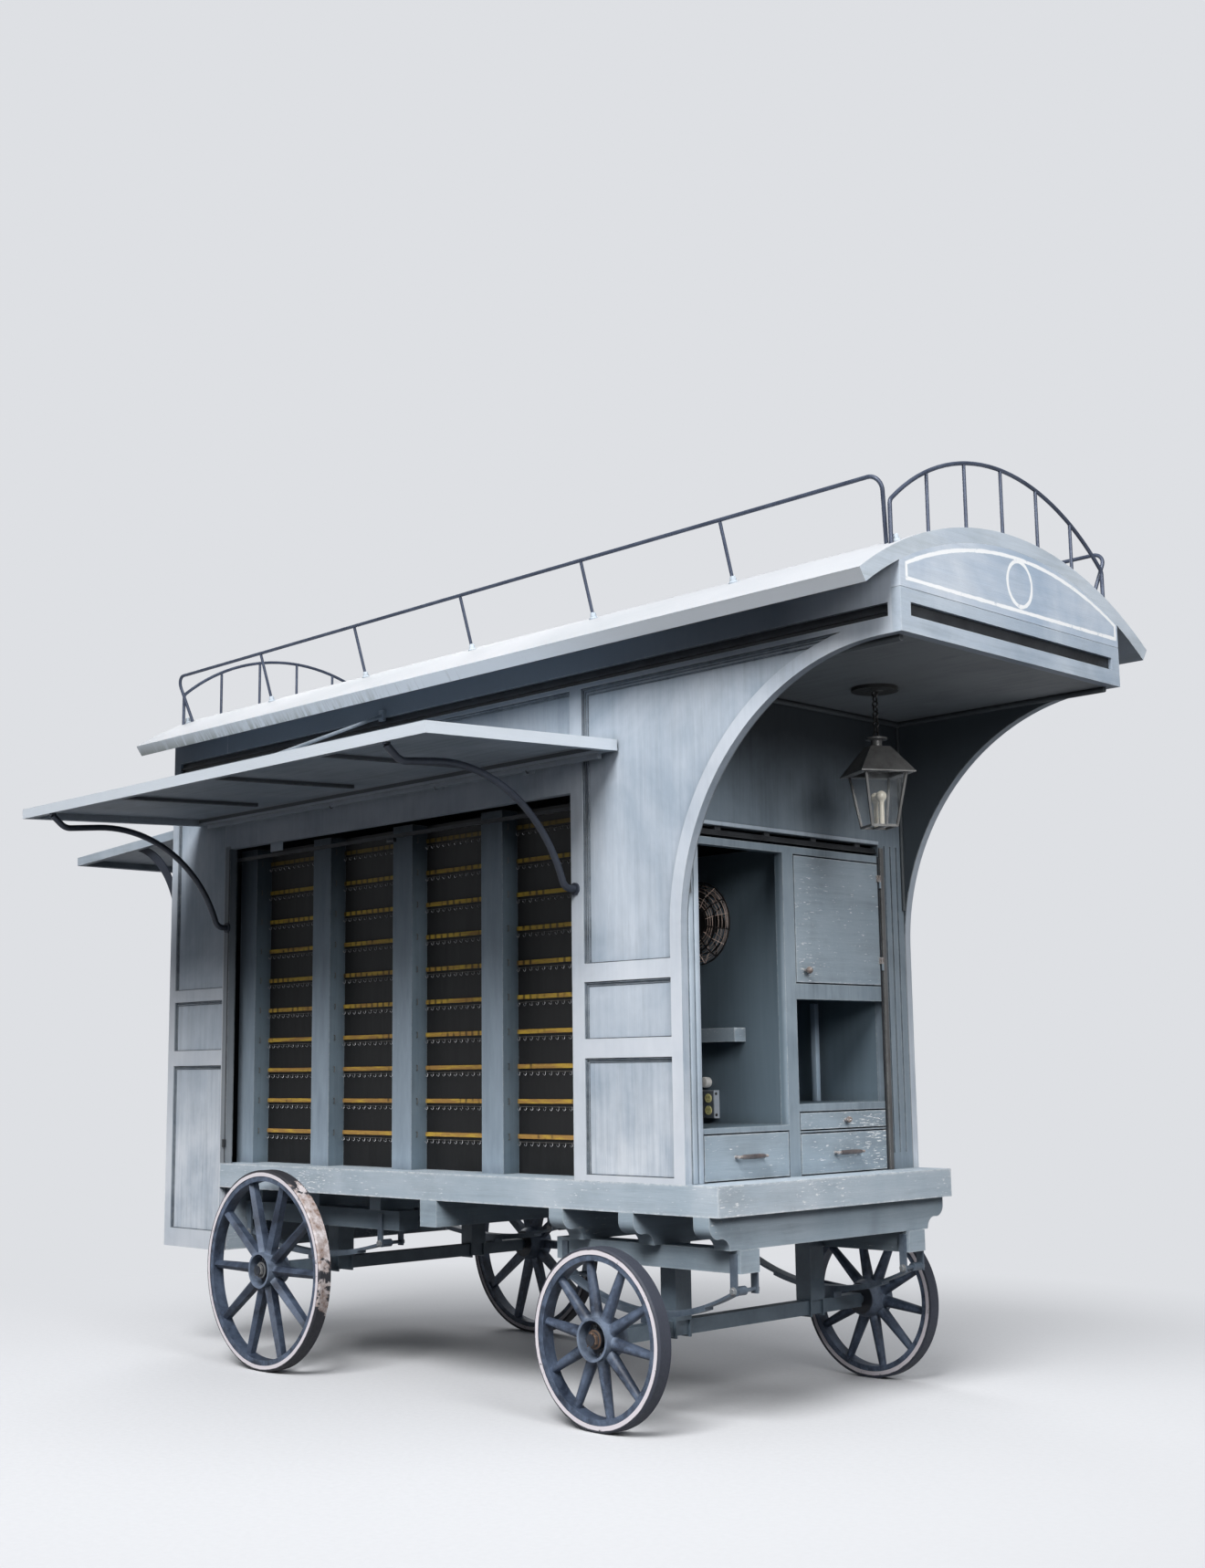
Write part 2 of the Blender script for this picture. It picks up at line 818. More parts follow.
@dataclass(frozen=True)
class FramedWall(PaintedTimber):
    """Panelled wall whose frames are paler than its recessed panels, with pale runs low on the panels."""

    face: float = 0.6425
    frame_coat: Colour = paint(217, 221, 228)
    run_coat: Colour = paint(226, 230, 236)
    run_top: float = 1.5
    inner_coat: Colour = paint(72, 79, 85)
    eave: float = 2.52
    eave_coat: Colour = paint(98, 107, 118)
    jamb_coat: Colour = paint(88, 94, 99)
    window: tuple[float, float, float] = (-2.830, 0.79, 2.16)
    window_stile: tuple[float, float] = (0.003, 0.038)
    rear_shade: tuple[float, float] = (-0.35, -1.1)
    frieze_end: tuple[float, float] = (0.78, 0.30)

    def extra(self, wiring: Wiring, place: Socket, colour: Socket) -> Socket:
        """Pales the frames, adds the runs and darkens the boards under the eave.

        Args:
            wiring: Tree of the material.
            place: Place on the piece.
            colour: Colour of the coat so far.

        Returns:
            The colour after it.
        """
        part = wiring.axes(place)
        away = wiring.size(wiring.less(part["y"], at(0, 0, 0).y))
        front = wiring.spread(away, self.face - 0.006, self.face - 0.002)
        side = wiring.spread(wiring.size(wiring.facing()["y"]), 0.6, 0.8)
        cloud = wiring.spread(wiring.cloud(place, 2.6, 4.0, 0.6), 0.3, 0.7, 0.05, 0.50)
        cloud = wiring.total(cloud, wiring.spread(part["z"], 2.2, 0.9, 0.0, 0.4))
        share = wiring.product(front, side, cloud)
        colour = wiring.mix(share, colour, self.frame_coat)
        run = wiring.streaks(place, (64.0, 64.0, 3.2), 6.0, 0.7, 0.4)
        run = wiring.total(wiring.product(run, 0.42), wiring.product(wiring.cloud(place, 4.0, 5.0), 0.58))
        low = wiring.spread(part["z"], self.run_top, 0.8, 0.0, 1.0)
        inner = wiring.less(1.0, front)
        runs = wiring.product(wiring.spread(run, 0.38, 0.64), low, inner)
        colour = wiring.mix(wiring.product(runs, 0.85), colour, self.run_coat)
        rear, foot, head = self.window
        ahead, behind = self.window_stile
        post = wiring.product(
            wiring.spread(part["x"], along_x(rear + ahead + 0.001), along_x(rear + ahead)),
            wiring.spread(part["x"], along_x(rear - behind - 0.001), along_x(rear - behind)),
        )
        tall = wiring.within(part["z"], foot, head + 0.01, 0.01)
        near = wiring.spread(part["y"], 0.0, -0.1)
        jamb = wiring.product(post, tall, wiring.product(near, 0.75))
        colour = wiring.mix(jamb, colour, self.jamb_coat)
        rearward = wiring.spread(part["x"], *(along_x(x) for x in self.rear_shade))
        under_eave = wiring.spread(part["z"], self.eave - 0.30, self.eave)
        colour = wiring.mix(wiring.product(rearward, under_eave, 0.7), colour, self.eave_coat)
        board = wiring.spread(part["z"], self.eave - 0.03, self.eave + 0.03)
        tail = wiring.spread(part["x"], *(along_x(x) for x in self.frieze_end))
        colour = wiring.mix(wiring.product(board, tail, 0.85), colour, self.eave_coat)
        return wiring.mix(wiring.spread(away, self.face - 0.030, self.face - 0.0355), colour, self.inner_coat)


@dataclass(frozen=True)
class ShadedPaint(PaintedTimber):
    """Paint that has darkened behind a plane and above a height, where no rain washes it."""

    inside: float = -0.149
    depth: float = 0.016
    above: float = 3.0
    height: float = 0.4
    dark_coat: Colour = paint(92, 108, 119)
    upper_coat: Colour = paint(50, 54, 58)

    def extra(self, wiring: Wiring, place: Socket, colour: Socket) -> Socket:
        """Darkens the inside and the top.

        Args:
            wiring: Tree of the material.
            place: Place on the piece.
            colour: Colour of the coat so far.

        Returns:
            The colour after it.
        """
        part = wiring.axes(place)
        line = along_x(self.inside)
        inner = wiring.spread(part["x"], line, line - self.depth)
        grain = wiring.spread(wiring.streaks(place, (50.0, 50.0, 3.0), 4.0, 0.7), 0.3, 0.7, 0.84, 0.94)
        colour = wiring.mix(wiring.product(inner, grain), colour, self.dark_coat)
        ragged = wiring.product(wiring.less(wiring.cloud(place, 3.0, 5.0, 0.6), 0.5), 0.3)
        top = wiring.spread(wiring.total(part["z"], ragged), self.above, self.above + self.height, 0.0, 0.85)
        return wiring.mix(top, colour, self.upper_coat)


@dataclass(frozen=True)
class AwningPaint(PaintedTimber):
    """Paint of the side awning: bleached outer edges, and ribs underneath that are nearly black."""

    top: float = 2.317
    wall: float = -0.6425
    fall: float = 0.0441
    depth: tuple[float, float] = (0.0130, 0.0300)
    reach: float = 0.828
    ends: tuple[float, float] = (-3.038, -0.460)
    rib_coat: Colour = paint(46, 48, 52)
    edge_coat: Colour = paint(216, 223, 231)

    def extra(self, wiring: Wiring, place: Socket, colour: Socket) -> Socket:
        """Pales the edges and darkens the ribs.

        Args:
            wiring: Tree of the material.
            place: Place on the piece.
            colour: Colour of the coat so far.

        Returns:
            The colour after it.
        """
        part, face = wiring.axes(place), wiring.facing()
        endward = wiring.spread(wiring.size(face["x"]), 0.6, 0.8)
        outward = wiring.most(wiring.spread(face["y"], -0.6, -0.8), endward)
        colour = wiring.mix(wiring.product(outward, 0.75), colour, self.edge_coat)
        out = wiring.less(at(0, self.wall, 0).y, part["y"])
        depth = wiring.less(wiring.less(at(0, 0, self.top).z, part["z"]), wiring.product(out, self.fall))
        rear, front = (along_x(end) for end in self.ends)
        inside = wiring.within(part["x"], rear, front, 0.002)
        inside = wiring.product(inside, wiring.spread(out, self.reach, self.reach - 0.002))
        low, high = self.depth
        rib = wiring.within(depth, low, high, 0.0015)
        return wiring.mix(wiring.product(rib, inside, 0.9), colour, self.rib_coat)


@dataclass(frozen=True)
class PostPaint(PaintedTimber):
    """Paint of the rack posts: their outer faces see the daylight and have faded, their sides have not."""

    outer_coat: Colour = paint(158, 172, 186)
    head_coat: Colour = paint(34, 40, 46)
    head: tuple[float, float] = (1.72, 2.12)
    share: float = 0.80

    def extra(self, wiring: Wiring, place: Socket, colour: Socket) -> Socket:
        """Pales the faces towards the window.

        Args:
            wiring: Tree of the material.
            place: Place on the piece.
            colour: Colour of the coat so far.

        Returns:
            The colour after it.
        """
        outward = wiring.spread(wiring.facing()["y"], -0.6, -0.9)
        patchy = wiring.spread(wiring.streaks(place, (30.0, 30.0, 5.0), 4.0, 0.6), 0.3, 0.7, 0.6, 1.0)
        colour = wiring.mix(wiring.product(outward, patchy, self.share), colour, self.outer_coat)
        head = wiring.spread(wiring.axes(place)["z"], *self.head, 0.0, 0.6)
        return wiring.mix(head, colour, self.head_coat)


@dataclass(frozen=True)
class FrontPaint(PaintedTimber):
    """Paint of the cupboard and drawer fronts, with bare brown metal on what stands out of them."""

    plane: float = -0.1415
    metal: Colour = paint(92, 80, 76)
    shine: Colour = paint(156, 140, 130)

    def extra(self, wiring: Wiring, place: Socket, colour: Socket) -> Socket:
        """Turns pulls, knobs and hinges brown.

        Args:
            wiring: Tree of the material.
            place: Place on the piece.
            colour: Colour of the coat so far.

        Returns:
            The colour after it.
        """
        part = wiring.axes(place)
        line = along_x(self.plane)
        out = wiring.spread(part["x"], line, line + 0.001)
        worn = wiring.spread(wiring.cloud(place, 70.0, 4.0, 0.7), 0.4, 0.7)
        return wiring.mix(out, colour, wiring.mix(worn, self.metal, self.shine))


@dataclass(frozen=True)
class LinedPaint(PaintedTimber):
    """Painted board with a pale painted frame, arched at its top, and a pale oval ring."""

    front: float = 0.799
    left: float = -0.6135
    right: float = 0.6325
    bottom: float = 2.652
    arch_middle: Point = (0.0, 0.0095, 1.306)
    arch_radius: float = 1.536
    line: float = 0.012
    oval: Point = (0.0, 0.0255, 2.751)
    oval_half: tuple[float, float] = (0.078, 0.0835)
    oval_line: float = 0.012
    line_coat: Colour = paint(236, 238, 240)

    def extra(self, wiring: Wiring, place: Socket, colour: Socket) -> Socket:
        """Paints the frame and the ring over the coat.

        Args:
            wiring: Tree of the material.
            place: Place on the piece.
            colour: Colour of the coat so far.

        Returns:
            The colour after it.
        """
        wander = wiring.product(wiring.less(wiring.cloud(place, 30.0, 3.0), 0.5), 0.006)
        part = wiring.axes(place)
        across, up = part["y"], part["z"]

        def off(value: Socket, middle: float) -> Socket:
            """Value less a middle."""
            return wiring.less(value, middle)

        def length(first: Socket, second: Socket) -> Socket:
            """Length of two parts at right angles."""
            both = wiring.total(wiring.product(first, first), wiring.product(second, second))
            return wiring.sums("SQRT", both)

        bow = at(*self.arch_middle)
        arch = off(length(off(across, bow.y), off(up, bow.z)), self.arch_radius)
        middle = at(0, (self.left + self.right) / 2, 0).y
        sides = off(wiring.size(off(across, middle)), (self.right - self.left) / 2)
        foot = wiring.less(self.bottom, up)
        inside = wiring.most(wiring.most(arch, sides), foot)
        depth = wiring.total(wiring.size(wiring.total(inside, self.line / 2)), wander)
        frame_line = wiring.spread(depth, self.line / 2 + 0.0012, self.line / 2 - 0.0008)
        ring = at(*self.oval)
        turned_across = wiring.sums("DIVIDE", off(across, ring.y), self.oval_half[0])
        turned_up = wiring.sums("DIVIDE", off(up, ring.z), self.oval_half[1])
        round_off = wiring.size(off(length(turned_across, turned_up), 1 - self.oval_line / 0.16))
        round_off = wiring.total(wiring.product(round_off, self.oval_half[0]), wander)
        ring_line = wiring.spread(round_off, self.oval_line / 2 + 0.0012, self.oval_line / 2 - 0.0008)
        lines = wiring.most(frame_line, ring_line)
        on_front = wiring.spread(part["x"], along_x(self.front - 0.002), along_x(self.front))
        worn = wiring.spread(wiring.cloud(place, 22.0, 5.0, 0.7), 0.72, 0.62)
        share = wiring.product(lines, on_front, worn)
        return wiring.mix(share, colour, self.line_coat)


@dataclass(frozen=True)
class StainedRoof(PaintedTimber):
    """Roof paint bleached on its top and edges, with dark drips down the edges towards the rear."""

    eave_top: float = 2.66
    drip_coat: Colour = paint(112, 116, 104)
    edge_coat: Colour = paint(230, 236, 243)
    rear: float = -3.3
    front: float = -0.6

    def extra(self, wiring: Wiring, place: Socket, colour: Socket) -> Socket:
        """Bleaches the top and the edges and adds the drips.

        Args:
            wiring: Tree of the material.
            place: Place on the piece.
            colour: Colour of the coat so far.

        Returns:
            The colour after it.
        """
        part = wiring.axes(place)
        up = wiring.facing()["z"]
        top = wiring.spread(up, 0.25, 0.7)
        cloud = wiring.cloud(place, 1.7, 6.0, 0.6, 0.3)
        bleached = wiring.mix(wiring.spread(cloud, 0.3, 0.7), paint(192, 193, 197), paint(176, 180, 184))
        colour = wiring.mix(wiring.product(top, 0.9), colour, bleached)
        edge = wiring.spread(wiring.size(wiring.facing()["y"]), 0.55, 0.8)
        colour = wiring.mix(wiring.product(edge, 0.85), colour, self.edge_coat)
        drips = wiring.streaks(place, (34.0, 3.0, 3.0), 5.0, 0.7, 0.2)
        grain = wiring.streaks(place, (60.0, 30.0, 24.0), 4.0, 0.7)
        toward_rear = wiring.spread(part["x"], along_x(self.front), along_x(self.rear), -0.16, 0.26)
        level = wiring.total(drips, wiring.product(grain, 0.25), toward_rear)
        low = wiring.spread(part["z"], self.eave_top, self.eave_top - 0.06)
        stain = wiring.product(wiring.spread(level, 0.62, 0.84), low, 0.8)
        return wiring.mix(stain, colour, self.drip_coat)


@dataclass(frozen=True)
class Iron(Finish):
    """Painted ironwork, rubbed at its edges."""

    name: str
    coat: Colour
    pale: Colour
    worn: float = 0.3
    metal: float = 0.25
    rough: float = 0.42
    scale: float = 9.0
    rust: float = 0.0
    rust_coat: Colour = paint(112, 62, 40)

    def wire(self, wiring: Wiring) -> bpy.types.Node:
        """Wires the coat with pale wear and rust.

        Args:
            wiring: Tree of the material.

        Returns:
            The shader node.
        """
        place = wiring.place()
        broad = wiring.cloud(place, self.scale, 5.0, 0.6, 0.3)
        fine = wiring.cloud(place, self.scale * 11, 4.0, 0.7)
        rubbed = wiring.spread(wiring.total(broad, wiring.product(fine, 0.3)), 0.5, 0.85)
        share = wiring.product(rubbed, self.worn)
        colour = wiring.mix(share, self.coat, self.pale)
        edges = rubbed_edges(wiring, place=place, amount=self.worn, reach=0.004)["mask"]
        colour = wiring.mix(edges, colour, self.pale)
        stains = wiring.spread(wiring.cloud(place, self.scale * 2.3, 5.0, 0.7), 0.5, 0.66)
        rusty = wiring.product(stains, self.rust)
        colour = wiring.mix(rusty, colour, self.rust_coat)
        rough = wiring.total(wiring.spread(fine, 0.3, 0.7, -0.08, 0.12), self.rough)
        bump = wiring.bump(fine, 0.2, 0.001)
        return wiring.principled(colour, rough, {"Metallic": self.metal, "Normal": bump})


@dataclass(frozen=True)
class WheelPaint(Iron):
    """Iron coat of a wheel, worn pale on its outer faces and hub rim, and dark in the hub's cup."""

    middle: Point = (0.0, 0.0, 0.0)
    hub_rim: tuple[float, float] = (0.055, 0.071)
    cup_out: float = 1.100

    def wire(self, wiring: Wiring) -> bpy.types.Node:
        """Wires the coat with its worn faces, the pale rim and the dark cup.

        Args:
            wiring: Tree of the material.

        Returns:
            The shader node.
        """
        shader = super().wire(wiring)
        coat = shader.inputs["Base Color"].links[0].from_socket
        place = wiring.place()
        away = wiring.off_axle(place, self.middle)[1]
        low, high = self.hub_rim
        rim = wiring.product(wiring.spread(away, low - 0.003, low), wiring.spread(away, high + 0.02, high))
        patchy = wiring.spread(wiring.cloud(place, 17.0, 5.0, 0.65), 0.3, 0.7, 0.15, 0.75)
        outward = wiring.spread(wiring.size(wiring.facing()["y"]), 0.80, 0.97)
        rubbed = wiring.spread(wiring.cloud(place, 26.0, 6.0, 0.72), 0.42, 0.64, 0.0, 0.7)
        ridge = wiring.product(outward, rubbed)
        coat = wiring.mix(ridge, coat, self.pale)
        mixed = wiring.mix(wiring.product(rim, patchy), coat, paint(140, 154, 174))
        cup = wiring.spread(away, low + 0.006, low)
        deep = wiring.spread(wiring.size(wiring.axes(place)["y"]), self.cup_out, self.cup_out - 0.012)
        mixed = wiring.mix(wiring.product(cup, deep, 0.85), mixed, paint(22, 22, 24))
        wiring.tree.links.new(mixed, shader.inputs["Base Color"])
        return shader


@dataclass(frozen=True)
class Tyre(Finish):
    """Solid tyre with a white painted ring, and paint peeling from its tread."""

    name: str
    middle: Point
    ring: tuple[float, float]
    radius: float
    tread: Colour
    peel: float = 0.0
    rubber: Colour = paint(44, 46, 54)
    ring_coat: Colour = paint(226, 220, 226)

    def wire(self, wiring: Wiring) -> bpy.types.Node:
        """Wires rubber, ring and peeling tread.

        Args:
            wiring: Tree of the material.

        Returns:
            The shader node.
        """
        place = wiring.place()
        off, away = wiring.off_axle(place, self.middle)
        wander = wiring.product(wiring.less(wiring.cloud(place, 26.0, 4.0, 0.7), 0.5), 0.005)
        away = wiring.total(away, wander)
        inner, outer = self.ring
        ring = wiring.within(away, inner - 0.001, outer + 0.001, 0.002)
        side = wiring.facing()["y"]
        facing = wiring.spread(wiring.size(side), 0.6, 0.9)
        chipped = wiring.spread(wiring.cloud(place, 34.0, 5.0, 0.75), 0.70, 0.64)
        ring = wiring.product(ring, facing, chipped)
        dusty = wiring.cloud(place, 11.0, 6.0, 0.65, 0.2)
        dark = wiring.mix(wiring.spread(dusty, 0.42, 0.75, 0.0, 0.55), self.rubber, self.tread)
        tread = wiring.spread(away, self.radius - 0.009, self.radius - 0.005)
        colour = wiring.mix(wiring.product(tread, 0.75), dark, self.tread)
        part = wiring.axes(off)
        turn = wiring.sums("ARCTAN2", part["z"], part["x"])
        ragged = wiring.less(wiring.cloud(place, 9.0, 6.0, 0.65, 0.5), 0.5)
        turn = wiring.total(turn, wiring.product(ragged, 1.5))
        bare = wiring.spread(wiring.size(wiring.less(turn, 0.38)), 0.66, 0.62)
        patch = wiring.spread(wiring.size(wiring.total(turn, 0.02)), 0.07, 0.11)
        bare = wiring.product(bare, patch, tread, self.peel)
        spots = wiring.spread(wiring.cloud(place, 30.0, 5.0, 0.7), 0.35, 0.68)
        mottled = wiring.mix(spots, paint(212, 206, 208), paint(120, 92, 76))
        colour = wiring.mix(bare, colour, mottled)
        colour = wiring.mix(ring, colour, self.ring_coat)
        fine = wiring.cloud(place, 90.0, 4.0, 0.7)
        height = wiring.less(fine, wiring.product(bare, 0.6))
        bump = wiring.bump(height, 0.3, 0.001)
        rough = wiring.spread(fine, 0.3, 0.7, 0.6, 0.8)
        return wiring.principled(colour, rough, {"Normal": bump})


@dataclass(frozen=True)
class RailPaint(Finish):
    """Yellow coat of the rack rails, with dark dashes along them and grime."""

    name: str = "rack_yellow_paint"
    coat: Colour = paint(214, 180, 66)
    aged: Colour = paint(170, 130, 70)
    dash: Colour = paint(58, 48, 28)
    low: float = 0.93
    high: float = 2.1

    def wire(self, wiring: Wiring) -> bpy.types.Node:
        """Wires the coat; the lower rails are duller and have fewer dashes.

        Args:
            wiring: Tree of the material.

        Returns:
            The shader node.
        """
        place = wiring.place()
        part = wiring.axes(place)
        height = wiring.spread(part["z"], self.low, self.high)
        worn = wiring.streaks(place, (9.0, 60.0, 60.0), 5.0, 0.7)
        dull = wiring.spread(wiring.less(worn, wiring.product(height, 0.22)), 0.28, 0.5)
        colour = wiring.mix(dull, self.coat, self.aged)
        beat = wiring.sums("FRACT", wiring.product(part["x"], 27.0))
        tick = wiring.within(beat, 0.30, 0.70, 0.06)
        gaps = wiring.streaks(place, (6.0, 9.0, 9.0), 3.0, 0.7)
        kept = wiring.spread(wiring.total(gaps, wiring.product(height, 0.2)), 0.56, 0.66)
        colour = wiring.mix(wiring.product(tick, kept, 0.8), colour, self.dash)
        grime = corner_dirt(wiring, place=place, amount=0.6, reach=0.02)["mask"]
        colour = wiring.mix(grime, colour, self.dash)
        colour = wiring.mix(wiring.spread(part["z"], 1.86, 2.10, 0.0, 0.8), colour, self.dash)
        bump = wiring.bump(worn, 0.2, 0.001)
        rough = wiring.spread(worn, 0.3, 0.7, 0.42, 0.6)
        return wiring.principled(colour, rough, {"Normal": bump})


@dataclass(frozen=True)
class Pegboard(Finish):
    """Black rack back with a fine dust of scratches."""

    name: str = "rack_back_black"
    coat: Colour = paint(8, 8, 9)
    dust: Colour = paint(24, 24, 27)

    def wire(self, wiring: Wiring) -> bpy.types.Node:
        """Wires the black coat with vertical dust.

        Args:
            wiring: Tree of the material.

        Returns:
            The shader node.
        """
        place = wiring.place()
        wear = wiring.streaks(place, (20.0, 20.0, 2.4), 6.0, 0.65, 0.4)
        fine = wiring.cloud(place, 120.0, 3.0, 0.8)
        colour = wiring.mix(wiring.spread(wear, 0.42, 0.8, 0.0, 0.6), self.coat, self.dust)
        specks = wiring.spread(fine, 0.70, 0.74, 0.0, 0.4)
        colour = wiring.mix(specks, colour, paint(92, 90, 87))
        bump = wiring.bump(fine, 0.25, 0.001)
        rough = wiring.spread(wear, 0.3, 0.7, 0.55, 0.75)
        return wiring.principled(colour, rough, {"Normal": bump})


@dataclass(frozen=True)
class Glow(Finish):
    """Frosted glass of an unlit bulb."""

    name: str = "bulb_glass"

    def wire(self, wiring: Wiring) -> bpy.types.Node:
        """Wires warm white glass with faint clouds.

        Args:
            wiring: Tree of the material.

        Returns:
            The shader node.
        """
        place = wiring.place()
        cloud = wiring.cloud(place, 60.0, 3.0)
        warm = wiring.spread(cloud, 0.3, 0.7, 0.0, 0.5)
        colour = wiring.mix(warm, paint(244, 238, 222), paint(222, 212, 190))
        rough = wiring.spread(cloud, 0.3, 0.7, 0.12, 0.25)
        return wiring.principled(colour, rough, {"Coat Weight": 0.4})


@dataclass(frozen=True)
class Glass(Finish):
    """Thin old window glass with a film of dust."""

    name: str = "lantern_glass"

    def wire(self, wiring: Wiring) -> bpy.types.Node:
        """Wires clear glass with a dusty film.

        Args:
            wiring: Tree of the material.

        Returns:
            The shader node.
        """
        place = wiring.place()
        film = wiring.cloud(place, 24.0, 5.0, 0.65)
        alpha = wiring.spread(film, 0.35, 0.8, 0.015, 0.09)
        colour = wiring.mix(film, paint(190, 200, 206), paint(226, 230, 232))
        return wiring.principled(colour, 0.08, {"Alpha": alpha, "Coat Weight": 0.6})


BACKDROP = paint(222, 224, 228)


@dataclass(frozen=True)
class StageFloor(Finish):
    """Pale floor that fades into the pale background away from the cart."""

    name: str = "stage_floor"
    near: float = 1.8
    far: float = 4.4
    coat: Colour = paint(208, 209, 212)

    def wire(self, wiring: Wiring) -> bpy.types.Node:
        """Wires a matt floor; the camera, gloss and glass see it fade into the background.

        Args:
            wiring: Tree of the material.

        Returns:
            The shader node.
        """
        place = wiring.place()
        away = wiring.length(place)
        seen = wiring.add("ShaderNodeLightPath")
        direct = wiring.most(seen.outputs["Is Camera Ray"], seen.outputs["Is Glossy Ray"])
        direct = wiring.most(direct, seen.outputs["Is Transmission Ray"])
        speckle = wiring.spread(wiring.cloud(place, 45.0, 4.0, 0.7), 0.3, 0.7, 0.97, 1.03)
        pale = wiring.toned(self.coat, speckle)
        colour = wiring.mix(direct, paint(64, 64, 66), pale)
        matt = wiring.add("ShaderNodeBsdfDiffuse", {"Color": colour})
        white = wiring.add("ShaderNodeEmission", {"Color": opaque(BACKDROP), "Strength": 1.0})
        fade = wiring.product(wiring.spread(away, self.near, self.far), direct)
        return wiring.add("ShaderNodeMixShader", {0: fade, 1: matt.outputs[0], 2: white.outputs[0]})


SLATE = paint(158, 171, 185)
PALE_SLATE = paint(200, 208, 218)
DARK_SLATE = paint(88, 98, 106)


